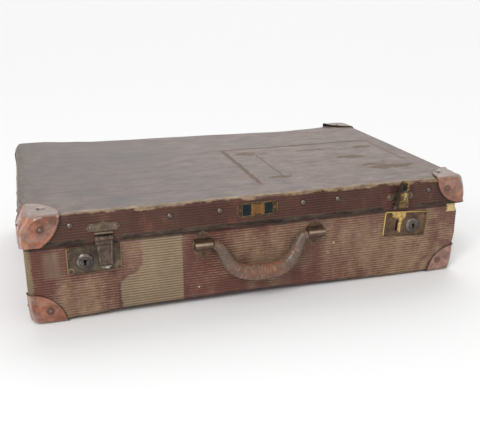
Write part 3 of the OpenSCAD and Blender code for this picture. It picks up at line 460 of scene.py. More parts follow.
def lid_top_board():
    f = Finish("lid_top_board")
    x = f.axis("X")
    y = f.axis("Y") - mid_y
    rib = y.wave(RIB_PITCH) * 0.5 + 0.5
    streak = f.noise(26, 6, 0.68, (1, 6, 1))
    fine = f.noise(110, 4, 0.7, (1, 9, 1))
    cloud = f.noise(6, 5, 0.6, (1, 1.5, 1))
    grain = f.noise(800, 2, 0.75, (1, 1.6, 1))
    to_right = x.above(0.0, 0.24)
    blot = f.noise(34, 6, 0.75, (1, 1.6, 1))
    band = (streak * 1.5 + blot * 2.2 - 1.35).clamped()
    dusty = f.mix("524745", "6c6360", band)
    brown = f.mix("5a4943", "93827a", band)
    f.body = f.mix(dusty, brown, to_right + cloud * 2.4 - 0.95)
    f.over("4d5150", f.noise(8, 5, stretch=(1, 1.3, 1), twist=0.6).ramp(6, 3.3) * 0.65)
    scrawl = f.noise(19, 4, 0.6, (1, 3, 1), twist=2.2)
    f.over("5e3b30", (scrawl - 0.5).abs().below(0.012, 0.02) * cloud.ramp(4, 1.7) * 0.6)
    pink = f.noise(13, 5, 0.7, (1, 4, 1))
    f.over("805f59", pink.ramp(6, 3.3) * 0.45)
    f.over("33211c", (1 - rib) * fine.ramp(3.4, 1.1) * 0.6)
    f.over("90827a", rib * fine.ramp(3.4, 1.45) * 0.55)
    dark = f.noise(15, 6, 0.7, (1, 3.2, 1)).ramp(6, 3.3)
    f.over("3e3432", dark * 0.35)
    light = f.noise(48, 5, 0.75, (1, 7, 1)).ramp(6, 3.6)
    f.over("8a7f77", light * 0.4)
    # Marks of a frame that once lay on the right half, and worn brown patches inside it
    ragged = (f.noise(70, 4) - 0.5) * 0.0075
    worn = streak.ramp(3.4, 1)
    lines = (y + ragged - 0.050).abs().below(0.0036, 0.0018) * x.between(0.010, 0.272, 0.01)
    for wobble, at, half, soft, near, far, fade, share in TOP_LINES:
        line = (x + ragged * wobble - at).abs().below(half, soft) * y.between(near, far, fade)
        lines = lines.larger(line * share)
    f.over("593d2b", lines * (0.5 + blot * 0.7).clamped())
    outline = (x + ragged - 0.0235).abs().below(0.0008, 0.0007) * y.between(-0.14, 0.045, 0.01)
    f.over("857a72", outline * worn * 0.5)
    spots = None
    for px, py, wide, deep, share in WORN_SPOTS:
        across = (x + ragged * 5 - px * MM) / (wide * MM)
        along = (y + ragged * 3.4 - py * MM) / (deep * MM)
        spot = across.square(along).below(1, 0.5) * share
        spots = spot if spots is None else spots.larger(spot)
    f.over("5a442a", (spots * (worn * 1.5 + fine * 1.6 - 0.3)).clamped() * 0.95)
    # Edges rubbed to a grey olive, widest along the left
    left = (x + ragged * 2).below(lid_low.x + 0.0125, 0.002)
    right = (x + ragged).above(lid_high.x - 0.006, 0.0015)
    olive = f.mix("453f34", "6f6857", f.noise(70, 4, stretch=(2, 1, 1)) * 2.6 - 0.8)
    f.over(olive, left.larger(right) * (0.35 + cloud * 0.9).clamped())
    wide = (f.noise(17, 3) - 0.5) * 0.014
    front = (y + ragged * 2 + wide).below(lid_low.y - mid_y + 0.0065, 0.0012)
    spotty = f.noise(150, 4, 0.75, (1, 2, 1))
    f.over(worn_edge(f, f.noise(60, 5, 0.75, (1, 2.5, 1)), spotty), front * 0.85)
    back = (y + ragged).above(lid_high.y - mid_y - 0.006, 0.002)
    f.over("463c33", back * 0.7)
    roughness = 0.36 + to_right * 0.07 + fine * 0.14 + lines * 0.15 + spots * 0.1
    return f.done(roughness, grain * 0.5 + fine * 1.2 + streak * 0.8 - lines * 0.8, 0.0003)


def leather(name, light, mid, dark, gloss, cut="24150f"):
    """Formed corner leather, by the piece's own attributes: the rim, painted shade in a ring round each
    rivet, a painted highlight along the corner's ridge and a painted reflection on faces that look up.
    """
    f = Finish(name, coat_weight=gloss, coat_roughness=0.14, specular_ior_level=0.35)
    flare, grime, ridge, dust = [f.mark(key) for key in LEATHER_MARKS]
    rim = flare.ramp(3, 2)
    mottle = f.noise(38, 5, 0.65, twist=0.8)
    cloud, fine = f.noises((110, 4, 0.7), (420, 3, 0.6))
    pores = f.cells(1500)
    f.body = f.mix(light, mid, mottle * 3.6 - 1.35)
    f.over(dark, (cloud * 3.4 + mottle * 1.4 - 2).clamped() * 0.85)
    f.over(dark, flare.between(0.02, 0.3, 0.14) * mottle.ramp(4, 1.4) * 0.45)
    # Painted highlight on the raised flare just inside the cut edge
    f.over("ad948a", flare.between(0.42, 0.68, 0.14) * cloud.ramp(4, 1.8) * 0.3)
    scuff = f.noise(170, 4, 0.75, (1, 1, 0.35)).above(0.64, 0.05)
    f.over("b3917a", scuff * 0.3)
    # Painted highlight along the corner's ridge
    f.over("d6c0b2", ridge * cloud.ramp(3, 0.7) * 0.5)
    sheen = f.noise(30, 3, stretch=(1, 1, 1.4), twist=1)
    f.over("9c8478", sheen.ramp(6, 3) * 0.5)
    # Painted reflection: grey on the faces that look up, on the lid's corners
    f.over("8d7f78", dust * (cloud + mottle).clamped() * 0.85)
    # Painted shade in a ring round each rivet
    f.over(dark, grime * 0.85)
    f.over(cut, rim * 0.92)
    height = pores * 0.2 + fine * 0.7 + cloud * 2.4 + mottle * 5
    return f.done(0.25 + fine * 0.16 + scuff * 0.2 + rim * 0.2, height, 0.0006)


def grip_leather():
    """Dry leather. The piece's along runs along the grip in metres, and its round about it."""
    f = Finish("grip_leather", coat_weight=0.35, coat_roughness=0.22, specular_ior_level=0.4)
    along, about = f.mark("along"), f.mark("round")

    def wound(lengthways, roundways, **more):
        place = f.node("ShaderNodeCombineXYZ", None, {"X": along * lengthways, "Y": about * roundways})
        return f.node("ShaderNodeTexNoise", None, {"Vector": place, "Scale": 1, **more})

    wrinkle = wound(760, 2.2, Detail=4, Roughness=0.65, Distortion=0.8)
    fine = f.noise(900, 3, 0.75)
    long_wear = wound(30, 1.2, Detail=4, Roughness=0.6)
    crease = (wrinkle - 0.48).abs().below(0.03, 0.035)
    middle = f.axis("X").abs().below(0.032, 0.014)
    f.body = f.mix("503c30", "9a7a63", wrinkle * 2.2 + fine * 0.9 - 1.05)
    f.over("9c6145", long_wear.ramp(4, 1.6) * (0.15 + middle * 0.6))
    f.over("66625e", long_wear.ramp(-4, -2.5) * (1 - middle) * 0.5)
    # Painted highlights: pale specks on the wrinkles' crests
    f.over("d2c4b6", (fine + wrinkle).ramp(6, 6.9) * 0.6)
    # Painted shade in the wrinkles' creases
    f.over("2a1c15", crease * 0.35)
    return f.done(0.3 + crease * 0.3 + fine * 0.15, wrinkle * 1.6 + fine * 0.7 - crease * 0.4, 0.0007)


def metal(name, tarnished, plain, rubbed, share=0.5, rough=0.4, metallic=0.75, scale=120):
    """Old metal: tarnish that varies over a plain ground, and brighter in rubbed spots."""
    f = Finish(name)
    cloud, fine = f.noises((scale, 5, 0.6), (scale * 6, 3, 0.7))
    ground = f.mix(tarnished, plain, cloud * 2.6 - 0.8)
    bright = (cloud * 2 + fine * 2.4 - 2.75 + share).clamped()
    f.body = f.mix(ground, rubbed, bright)
    f.set("Metallic", metallic)
    return f.done(rough + 0.22 - bright * 0.22 + fine * 0.1, cloud + fine * 0.6, 0.00018)


def lock_plate_brass(side, tarnished, plain, gold):
    """Brass of a lock plate, brighter on its rim; the right one is rubbed to gold round its slot."""
    f = Finish(side + "_plate_brass", metallic=0.6)
    turn = -LOCK_TURN if side == "right" else 0
    x, z = f.about(middle_of("lock_plate_" + side))
    across = x * math.cos(turn) + z * math.sin(turn)
    up = z * math.cos(turn) - x * math.sin(turn)
    cloud, blotch, fine = f.noises((80, 5, 0.65), (210, 4, 0.7), (700, 3, 0.7))
    ragged = (cloud - 0.5) * 0.014 + (blotch - 0.5) * 0.006
    f.body = f.mix(tarnished, plain, cloud * 3 + fine * 1.2 - 1.65)
    f.over("6a4426", blotch.ramp(5, 2.9) * 0.6)
    half_w, half_h = 33.75 * MM, 18 * MM
    soft = 0.3 * MM
    rims = {"left": across.below(1.3 * MM - half_w, soft), "top": up.above(half_h - 1.1 * MM, soft),
            "right": across.above(half_w - 1.2 * MM, soft), "low": up.below(1.2 * MM - half_h, soft)}
    hollow = across.below(2.2 * MM - half_w, 0.4 * MM).larger(up.above(half_h - 2 * MM, 0.4 * MM))
    f.over("211a14", hollow * 0.6)
    if side == "right":
        # Rubbed wide under the top rim, and down a narrow strip beside the slot
        left_end = (across + ragged * 0.5).above(up.above(0.0085, 0.0035) * -0.0115 - 0.0113, 0.0008)
        right_end = (across + ragged * 0.5).below(up.above(0.0075, 0.0045) * 0.0055 - 0.0064, 0.0008)
        splash = left_end * right_end * (up + ragged * 0.5).above(-0.0115, 0.001)
        fringe = (left_end * right_end * (up + ragged).above(-0.013, 0.002)) * cloud.ramp(5, 1.8)
        f.over("8e6130", fringe * 0.8)
        bright = (rims["top"] * (0.95 - across.above(0.012, 0.02) * 0.5)).larger(rims["left"])
        bright = bright.larger(splash * blotch.ramp(3.6, 1.15) * 0.9).larger(rims["right"] * 0.25)
        slot = (across + 13.2 * MM).abs().below(2.6 * MM, 0.5 * MM)
        slot = slot * (up + 2.4 * MM).abs().below(8.6 * MM, 0.6 * MM) * across.below(-13.6 * MM, 0.6 * MM)
        bright = bright * (1 - slot)
    else:
        ring_x, ring_z = across + half_w - 4.2 * MM, up + half_h - 4.2 * MM
        ring = ring_x.square(ring_z).between(7e-6, 1.6e-5, 3e-6)
        bright = (rims["left"] * 0.65).larger(ring * cloud.ramp(2, 0.7) * 0.8)
        bright = bright.larger(rims["low"] * across.above(0.012, 0.01) * 0.4).larger(rims["right"] * 0.3)
        corner = (across + ragged).above(0.024, 0.004) * (up + ragged).below(-0.006, 0.004)
        bright = bright.larger(corner * blotch.ramp(3, 1) * 0.6).larger(rims["top"] * 0.12)
    bright = (bright * fine.ramp(1.5, -0.3)).clamped()
    f.over(gold, bright)
    return f.done(0.42 + fine * 0.14 - bright * 0.16, cloud * 2 + blotch + fine * 0.6, 0.0003)


def boss_metal(side):
    """Dark metal of a lock's boss and plug, turned with rings, with painted shade between the rings, round
    the edge and in the keyhole, and a painted highlight on the upper left.
    """
    f = Finish(side + "_boss_metal", metallic=0.55)
    across, up = f.about(joint_at["plug_" + side + "_turn"])
    far = across.square(up).power(0.5)
    cloud, fine = f.noises((150, 4, 0.65), (900, 3, 0.7))
    f.body = f.mix("2f2825", "665b55", cloud * 2.4 + fine * 0.8 - 1)
    # Painted shade in the grooves between the rings and round the boss's edge
    painted_ring_and_hole_shade = far.between(6.1 * MM, 6.9 * MM, 0.3 * MM).larger(far.between(4.6 * MM, 5.1 * MM, 0.2 * MM))
    painted_ring_and_hole_shade = painted_ring_and_hole_shade.larger(far.above(11 * MM, 0.4 * MM))
    # Painted highlight: pale rings on the upper left half of the boss only
    light = far.between(5.2 * MM, 6 * MM, 0.25 * MM).larger(far.between(7.2 * MM, 10.6 * MM, 1 * MM) * 0.5)
    light = light * (up - across * 0.6).above(-0.002, 0.006)
    f.over("a1958c", light * cloud.ramp(2.4, 0.5))
    # Keyhole, black all the way down: painted shade in the hole
    hole = across.square(up - 1.1 * MM).power(0.5).below(2.2 * MM, 0.15 * MM)
    hole = hole.larger(across.abs().below(1.2 * MM, 0.15 * MM) * up.between(-4 * MM, 1.1 * MM, 0.2 * MM))
    painted_ring_and_hole_shade = (painted_ring_and_hole_shade * 0.6).larger(hole * f.axis("Y").above(front_y - 4.9 * MM, 0.2 * MM))
    f.over("0b0807", painted_ring_and_hole_shade)
    return f.done(0.3 + fine * 0.12 + painted_ring_and_hole_shade * 0.4, light * 2 - painted_ring_and_hole_shade * 3 + cloud, 0.0003)


def bracket_bronze(side):
    """Bronze of a handle bracket, with a painted highlight along the top of its barrel and painted shade at
    the barrel's root, under it and at its ends.
    """
    f = Finish(side + "_bracket_bronze", metallic=0.5)
    pins = joint_at["handle_swing"]
    x = f.axis("X") - middle_of("handle_bracket_" + side).x
    out, up = pins.y - f.axis("Y"), f.axis("Z") - pins.z
    cloud, fine = f.noises((130, 5, 0.65), (700, 3, 0.7))
    f.body = f.mix("3d2e27", "775a48", cloud * 2.8 + fine - 1.4)
    f.over("9a6a3a", cloud.ramp(-4, -1.75) * 0.6)
    barrel = out.above(-4.4 * MM, 0.3 * MM)
    # Painted highlight along the top of the barrel
    painted_barrel_highlight = barrel * (up - 2.6 * MM).abs().below(1.1 * MM, 1 * MM) * fine.ramp(2.4, 0.4)
    f.over("c9b49a", painted_barrel_highlight * 0.75)
    # Painted shade at the barrel's root, under the barrel and at its ends
    painted_root_shade = (1 - barrel) * up.abs().between(5 * MM, 7.4 * MM, 0.8 * MM)
    painted_shade_below = barrel * up.below(-3.4 * MM, 1 * MM)
    ends = barrel * x.abs().above(11.2 * MM, 0.3 * MM)
    f.over("140e0a", (painted_root_shade * 0.9).larger(painted_shade_below * 0.65).larger(ends * 0.5))
    return f.done(0.36 + fine * 0.15 + painted_root_shade * 0.2, cloud * 2 + fine * 0.6, 0.0003)


def hasp_bronze(side, roll_highlight_colour):
    """Grey-brown metal of a hasp's plate, with a painted highlight along its roll and painted shade in the
    gaps beside roll and knuckles.
    """
    f = Finish(side + "_hasp_bronze", metallic=0.5)
    up = f.axis("Z") - rim_z
    cloud, fine = f.noises((150, 5, 0.65), (700, 3, 0.7))
    f.body = f.mix("42362d", "7d6a59", cloud * 2.8 + fine - 1.4)
    f.over("8a5f36", cloud.ramp(-4, -1.7) * 0.5)
    # Painted highlight along the roll
    roll = up.between(10.2 * MM, 12.6 * MM, 0.5 * MM) * f.axis("Y").below(lid_front_y - 1.6 * MM, 0.2 * MM)
    f.over(roll_highlight_colour, roll * fine.ramp(2, 0.5) * 0.5)
    # Painted shade in the gaps beside the roll and the knuckles
    painted_gap_shade = up.between(8.6 * MM, 10 * MM, 0.3 * MM).larger(up.between(13.1 * MM, 14.3 * MM, 0.4 * MM) * 0.8)
    f.over("120d0a", painted_gap_shade * 0.9)
    return f.done(0.36 + fine * 0.15 + painted_gap_shade * 0.2, cloud * 2 + fine * 0.6, 0.0003)


def closed_flap():
    """Brown metal of the shut flap, with rust, pale rubbed sides, a painted highlight on its curled tip and
    painted shade in two bands across it.
    """
    f = Finish("closed_flap", metallic=0.5)
    across, up = f.axis("X") - middle_of("hasp_flap_left").x, f.axis("Z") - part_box("hasp_flap_left")[0].z
    cloud, blotch = f.noises((110, 5, 0.65), (320, 4, 0.7))
    f.body = f.mix("352924", "6d5a4e", cloud * 2.4 + blotch * 2 - 1.75)
    f.over("7f4f2f", cloud.ramp(-5, -2.2) * 0.6)
    # Painted highlight on the curled tip
    tip = (up + (blotch - 0.5) * 0.002).between(2.2 * MM, 4.6 * MM, 0.5 * MM)
    f.over("c4b8ae", tip * blotch.ramp(4, 1.35) * 0.9)
    side = (across.abs() + up * -0.05).between(6.4 * MM, 7.6 * MM, 0.5 * MM)
    f.over("a3968b", side * blotch.ramp(3, 1.1) * 0.6)
    # Painted shade in a band at the shoulder and another just above the tip
    painted_shoulder_shade = up.between(30.4 * MM, 31.6 * MM, 0.4 * MM)
    f.over("171110", (painted_shoulder_shade * 0.8).larger(up.between(4.9 * MM, 6 * MM, 0.4 * MM) * 0.7))
    return f.done(0.33 + blotch * 0.18, cloud * 2 + blotch, 0.0003)


def thrown_flap():
    """Gold-brown metal of the raised flap, with painted shade along its left side and in two bands across
    it.
    """
    f = Finish("thrown_flap", metallic=0.55)
    across, up = f.axis("X") - middle_of("hasp_flap_right").x, f.axis("Z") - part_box("hasp_flap_right")[0].z
    cloud, blotch = f.noises((110, 4, 0.65), (320, 4, 0.7))
    f.body = f.mix("3d2e1c", "8d6d3b", cloud * 2.4 + blotch * 2.4 - 1.95)
    f.over("dcc487", blotch.ramp(7, 4) * across.above(-0.001, 0.003) * 0.85)
    edge = (across + (cloud - 0.5) * 0.004).between(0.001, 0.0055, 0.0012) * up.above(0.012, 0.004)
    f.over("d6bd7c", edge * blotch.ramp(4, 1.5) * 0.8)
    # Painted shade along the left side and in two bands across the flap
    dark = (across + (cloud - 0.5) * 0.006).below(-0.003, 0.002)
    dark = dark.larger(up.between(0.0245, 0.0262, 0.0006)).larger(up.between(0.0085, 0.0096, 0.0005))
    f.over("1f1711", dark * 0.88)
    return f.done(0.36 + blotch * 0.15, cloud * 2 + blotch, 0.0003)


def ruled(f, fine):
    """Upright rules, and the orange brown that they cross."""
    rule = f.axis("X").wave(RULE_PITCH) * 0.5 + 0.5
    return rule, f.mix("4d3520", "a2703a", fine * 1.6 + rule * 0.7 - 0.75)


def name_plate_brass():
    """Dark worn brass with a thin rubbed rim and a ruled, orange-brown middle."""
    f = Finish("name_plate_brass", metallic=0.4, specular_ior_level=0.3)
    x, z = f.about(middle_of("name_plate"))
    fine = f.noise(500, 4, 0.75)
    cloud = f.noise(120, 4)
    rim = x.abs().above(26.6 * MM, 0.3 * MM).larger(z.abs().above(8.9 * MM, 0.3 * MM))
    f.body = f.mix("271f18", "574428", fine * 2.2 + cloud - 1.1)
    _, middle = ruled(f, fine)
    f.over(middle, x.abs().below(9 * MM, 0.4 * MM) * z.abs().below(6.6 * MM, 0.5 * MM))
    f.over("947a46", rim * cloud.ramp(3, 1) * 0.8)
    return f.done(0.42 + fine * 0.15, fine + cloud, 0.0002)


def enamel_finish():
    """Worn fields, near black with a green cast at the ends and brassy between them."""
    f = Finish("enamel", specular_ior_level=0.2)
    x = f.axis("X") + 4 * MM
    fine = f.noise(600, 4, 0.7)
    cloud = f.noise(160, 4)
    ends = (x.abs() + (cloud - 0.5) * 0.003).above(9 * MM, 0.5 * MM)
    rule, middle = ruled(f, fine)
    dark = f.mix("070b0c", "18262a", cloud * 2.4 - 0.7)
    f.body = f.mix(middle, dark, ends)
    f.over("8a7b57", fine.above(0.66, 0.03) * 0.5)
    return f.done(0.38 + fine * 0.25, fine + rule * 0.5, 0.00012)


def wood():
    f = Finish("frame_wood")
    grain = f.noise(60, 5, stretch=(0.6, 0.6, 14), twist=0.4)
    fleck = f.noise(700, 2, stretch=(0.3, 0.3, 3))
    f.body = f.mix("8a6a44", "b8946a", grain * 1.8 - 0.4)
    f.over("6d4e31", fleck.ramp(2, 0.9) * 0.5)
    return f.done(0.55 + grain * 0.2, grain + fleck * 0.4, 0.0002)


def lining_paper():
    """Faded paper with a narrow woven-looking check and foxing."""
    f = Finish("lining_paper")
    x, y = f.axis("X"), f.axis("Y")
    stripe = x.wave(CHECK_PITCH).above(0.72, 0.12)
    cross = y.wave(CHECK_PITCH).above(0.86, 0.1)
    stain = f.noise(14, 5)
    fibre = f.noise(500, 3)
    f.body = f.mix("b7ab93", "9c8b70", stain * 2.4 - 0.9)
    f.over("8d7f6c", stripe.larger(cross) * 0.45)
    spots = f.cells(55).below(0.09, 0.05) * f.cells(55, output=1).above(0.7, 0.05)
    f.over("75593b", spots * 0.5)
    return f.done(0.85, fibre + stain * 3, 0.0002)


def cloth_binding():
    f = Finish("rim_cloth", specular_ior_level=0.15)
    z = f.axis("Z")
    warp = f.axis("X").wave(WARP_PITCH) * f.axis("Y").wave(WARP_PITCH)
    weft = z.wave(WEFT_PITCH)
    wear = f.noise(40, 5, 0.7, (1, 1, 3))
    spot = f.noise(150, 4, 0.75, (1, 1, 4))
    f.body = f.mix("2e2622", "635549", wear * 3 - 1.05)
    # Painted shade along the strip's lower edge, over the gap beneath it
    painted_shade_low_edge = (z + (spot - 0.5) * 0.002).below(rim_z + 0.0011, 0.0006)
    high_edge = (z + (spot - 0.5) * 0.003).above(rim_z + 0.0056, 0.0006)
    f.over("1c1512", painted_shade_low_edge * 0.85)
    f.over("6d5a4b", high_edge * spot.ramp(3, 1.2) * 0.8)
    f.over("6e4b3a", spot.ramp(6, 3.7) * 0.6)
    return f.done(0.9, warp * 0.5 + weft * 0.5 + wear * 3 + spot, 0.0003)


first_base_rib = base_low.z + 2 * RIB_PITCH
first_lid_rib = lid_low.z + 8.6 * MM
BASE_BOARD = base_board()
LID_BOARD = lid_board()
LID_TOP = lid_top_board()
LEATHERS = {
    "lid_left": leather("left_leather", "ae6846", "8a5036", "4c2a1d", 0.6),
    "lid_right": leather("right_leather", "b07456", "95604a", "5c382a", 0.55),
    "base_left": leather("low_left_leather", "a6674a", "885039", "543024", 0.45),
    "base_right": leather("low_right_leather", "a4796a", "92685a", "64463b", 0.35),
    "back": leather("back_leather", "755a4a", "5e4637", "443029", 0.2, "6a5545"),
}
GRIP = grip_leather()
BRASS = metal("old_brass", "3b2c22", "6e523a", "a88a5e", 0.3, rough=0.3, metallic=0.5)
BRACKETS = {side: bracket_bronze(side) for side in SIDES}
BOSSES = {side: boss_metal(side) for side in SIDES}
HASPS = {"left": hasp_bronze("left", "b9aa9a"), "right": hasp_bronze("right", "a98f62")}
PLATES = {"left": lock_plate_brass("left", "3a322b", "685848", "a9946a"),
          "right": lock_plate_brass("right", "45362a", "765c45", "dcbd72")}
FLAPS = {"left": closed_flap(), "right": thrown_flap()}
EDGE_BRASS = metal("rubbed_edge", "594636", "a08a6c", "dccdaa", 0.5, rough=0.28, scale=260)
STEEL = metal("grey_steel", "4b4644", "6e6966", "a19d9a", 0.4, rough=0.32)
EDGE_STEEL = metal("rubbed_steel", "5b5552", "807a77", "b9b5b1", 0.5, rough=0.3, scale=300)
RIVET_METAL = metal("rivet_metal", "4e433d", "8a7c73", "c4b9b1", 0.45, rough=0.2, scale=300)
DARK_STEEL = metal("dark_steel", "241f1c", "423b36", "6e655e", 0.35, rough=0.36)
NAME_BRASS = name_plate_brass()
ENAMEL = enamel_finish()
WOOD = wood()
PAPER = lining_paper()
BINDING = cloth_binding()


# Walls of the case
def weld_all(threshold):
    bpy.ops.mesh.select_all(action="SELECT")
    bpy.ops.mesh.remove_doubles(threshold=threshold)


def bisect(point, normal):
    bpy.ops.mesh.select_all(action="SELECT")
    bpy.ops.mesh.bisect(plane_co=point, plane_no=normal)


def slice_evenly(axis, low, high, count):
    """Cuts the mesh into count even parts between two places on an axis."""
    normal = [int(i == axis) for i in range(3)]
    for i in range(1, count):
        place = low + (high - low) * i / count
        bisect([place * n for n in normal], normal)


def tray(name, low, high, open_up, ribs, groove):
    """Ribbed shell of one half. ribs are the heights of its grooves."""
    piece = box(name, low, high)
    closed_z, open_z = (low.z, high.z) if open_up else (high.z, low.z)
    open_edit(piece)
    pick(piece, "EDGE", lambda at, way: abs(way.z) > 0.9)
    bpy.ops.mesh.bevel(offset=CORNER_R, segments=7, affect="EDGES")
    pick(piece, "EDGE", lambda at, way: abs(at.z - closed_z) < 1e-5 and abs(way.z) < 0.1)
    bpy.ops.mesh.bevel(offset=EDGE_R, segments=5, affect="EDGES")
    pick(piece, "FACE", lambda at, way: abs(at.z - open_z) < 1e-5)
    bpy.ops.mesh.delete(type="FACE")
    for axis in (0, 1):
        start, end = low[axis] + CORNER_R, high[axis] - CORNER_R
        slice_evenly(axis, start, end, round((end - start) / BOARD_CELL))
    for height in ribs:
        for part in (-0.28, 0, 0.28):
            bisect((0, 0, height + part * RIB_PITCH), (0, 0, 1))
    pick(piece, "VERT", lambda at, way: any(abs(at.z - h) < 1e-5 for h in ribs))
    bpy.ops.transform.shrink_fatten(value=-groove)
    close_edit()
    return piece


# The case has warped
def step(value, low, high):
    share = max(0, min(1, (value - low) / (high - low)))
    return share * share * (3 - 2 * share)


# Rise of the lower front edge and sinking of the top's back: places along the case and heights
ARCH = ((-300, 0), (-262, 0), (-235, 2), (-180, 5.6), (-60, 6.8), (10, 6.8), (70, 5.2), (130, 3),
        (200, 0.4), (240, 0), (300, 0))
SAG = ((-304, -3), (-262, -2.6), (-215, 0.6), (-170, 2.8), (-90, 3.8), (10, 5.3), (90, 6.6), (170, 8.2),
       (225, 7.2), (252, 6), (268, 1.8), (304, 0))


def along_table(table, x):
    """Height in metres at x, from a table of places and heights in millimetres."""
    for (a, high_a), (b, high_b) in zip(table, table[1:]):
        if a * MM <= x < b * MM:
            return (high_a + (high_b - high_a) * step(x, a * MM, b * MM)) * MM
    return 0


CASE_LOW = Vector((lid_low.x, lid_low.y, base_low.z))
CASE_HIGH = Vector((lid_high.x, lid_high.y, lid_high.z))
CASE_MIDDLE = (CASE_LOW + CASE_HIGH) / 2
CASE_HALF = (CASE_HIGH - CASE_LOW) / 2


def blunted(at):
    """Shift of a point near a corner of the case, where the real one is worn round or bulges."""
    from_middle = at - CASE_MIDDLE
    deep_x, deep_y = CASE_HALF.x - abs(from_middle.x), CASE_HALF.y - abs(from_middle.y)
    if deep_x > 80 * MM or deep_y > 80 * MM:
        return Vector((0, 0, 0))
    deep_z = CASE_HALF.z - abs(from_middle.z)
    right, lid, near = from_middle.x > 0, at.z > rim_z, from_middle.y < 0
    far = Vector((max(0, deep_x), max(0, deep_y), max(0, deep_z))).length
    share = max(0, 1 - far / (31 * MM)) ** 2 * MM
    if lid:
        amount = Vector((5, 5, 3.2) if right else (4, 5, 3.2)) if near else Vector((3, 2, 0.3))
    else:
        amount = Vector((2.5, 2, 0) if right else (5, 3, 1))
    inward = Vector((-1 if right else 1, 1 if near else -1, -1 if lid else 1))
    shift = amount * inward * share
    beside = 1 - step(deep_x, 3 * MM, 24 * MM)
    upright = (1 - step(deep_y, 6 * MM, 20 * MM)) * beside
    if near and lid and not right:
        leans = (1 - step(deep_z, 0, 19 * MM)) * (1 - step(deep_y, 42 * MM, 76 * MM))
        shift.x += 6.5 * MM * leans * (1 - step(deep_x, 6 * MM, 60 * MM))
    if near and lid and right:
        shift.x += 5.5 * MM * upright
    if near and right and not lid:
        shift.x += 3.2 * MM * upright * step(at.z, 34 * MM, 58 * MM) * (1 - step(at.z, 89 * MM, 97 * MM))
    return shift


def arched(at):
    near = 1 - step(at.y, front_y, front_y + 130 * MM)
    low = max(0, 1 - at.z / (60 * MM))
    return Vector((0, 0, along_table(ARCH, at.x) * near * low)) + blunted(at)


def sagged(at):
    back = step(at.y, 30 * MM, lid_high.y)
    high = step(at.z, 120 * MM, lid_high.z)
    return Vector((0, 0, -along_table(SAG, at.x) * back * high)) + blunted(at)


def move_points(piece, shift):
    for vertex in piece.data.vertices:
        vertex.co += shift(vertex.co)


def cut_slots(piece):
    """Opens the front wall behind the slot of each lock plate, for the hasps' staples."""
    half = Vector((2.3 * MM, 0, 8.6 * MM))
    open_edit(piece)
    for side in SIDES:
        slot = Vector((middle_of("hasp_staple_" + side).x, front_y, joint_at["plug_left_turn"].z))
        for sign in (-1, 1):
            bisect(slot + half * sign, (1, 0, 0))
            bisect(slot + half * sign, (0, 0, 1))
        pick(piece, "FACE", lambda at, way: abs(at.x - slot.x) < half.x
             and abs(at.z - slot.z) < half.z and at.y < front_y + 4 * MM)
        bpy.ops.mesh.delete(type="FACE")
    close_edit()


def finish_shell(piece, half, waves, shift, finish):
    """Warps the bare shell of one half and gives it its thickness. waves are their size and height."""
    uneven(piece, *waves)
    move_points(piece, shift)
    modify(piece, "SOLIDIFY", thickness=BOARD_T - 0.3 * MM, offset=-1)
    smooth(piece, 35)
    dress(piece, finish, half, half + "_tray")


base_ribs = [first_base_rib + i * RIB_PITCH for i in range(26)]
base_shell = tray("base_shell", base_low, base_high, True, base_ribs, 0.32 * MM)
cut_slots(base_shell)
finish_shell(base_shell, "base", (0.09, 0.0007), arched, BASE_BOARD)

lid_ribs = [first_lid_rib + i * RIB_PITCH for i in range(7)]
lid_shell = tray("lid_shell", lid_low, lid_high, False, lid_ribs, 0.28 * MM)
finish_shell(lid_shell, "lid", (0.11, 0.0008), sagged, LID_BOARD)
lid_shell.data.materials.append(LID_TOP.material)
for face in lid_shell.data.polygons:
    if face.normal.z > 0.75 and face.center.z > lid_high.z - 0.012:
        face.material_index = 1


# Cloth strip round the lid's rim
def rim_strip():
    low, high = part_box("lid_rim_binding")
    piece = box("lid_rim_strip", low, high)
    open_edit(piece)
    pick(piece, "EDGE", lambda at, way: abs(way.z) > 0.9)
    bpy.ops.mesh.bevel(offset=CORNER_R, segments=8, affect="EDGES")
    pick(piece, "FACE", lambda at, way: abs(way.z) > 0.9)
    bpy.ops.mesh.delete(type="FACE")
    for axis in (0, 1):
        slice_evenly(axis, low[axis], high[axis], 60)
    for part in (0.12, 0.35, 0.65, 0.88):
        bisect((0, 0, low.z + part * (high.z - low.z)), (0, 0, 1))
    pick(piece, "VERT", lambda at, way: low.z + 1e-4 < at.z < high.z - 1e-4)
    bpy.ops.transform.shrink_fatten(value=0.35 * MM)
    close_edit()
    uneven(piece, 0.02, 0.0005)
    # Pressed flat where the shut flaps lie on it
    flaps_x = [middle_of("hasp_flap_" + side).x for side in SIDES]
    for vertex in piece.data.vertices:
        if vertex.co.y > lid_front_y + 4 * MM:
            continue
        for flap_x in flaps_x:
            beside = abs(vertex.co.x - flap_x)
            vertex.co.y += 1.1 * MM * (1 - step(beside, 13 * MM, 24 * MM))
    modify(piece, "SOLIDIFY", thickness=1.0 * MM, offset=-1)
    modify(piece, "SUBSURF", levels=1, render_levels=1)
    smooth(piece, 60)
    dress(piece, BINDING, "lid", "lid_rim_binding")


rim_strip()


# Formed leather corners
def copy_node(node, name):
    """A merged copy of a CAD node's mesh, as a new piece."""
    piece = new_object(name, nodes[node].data.copy())
    piece.data.materials.clear()
    open_edit(piece)
    weld_all(1e-5)
    close_edit()
    if piece.data.has_custom_normals:
        bpy.ops.mesh.customdata_custom_splitnormals_clear()
    return piece


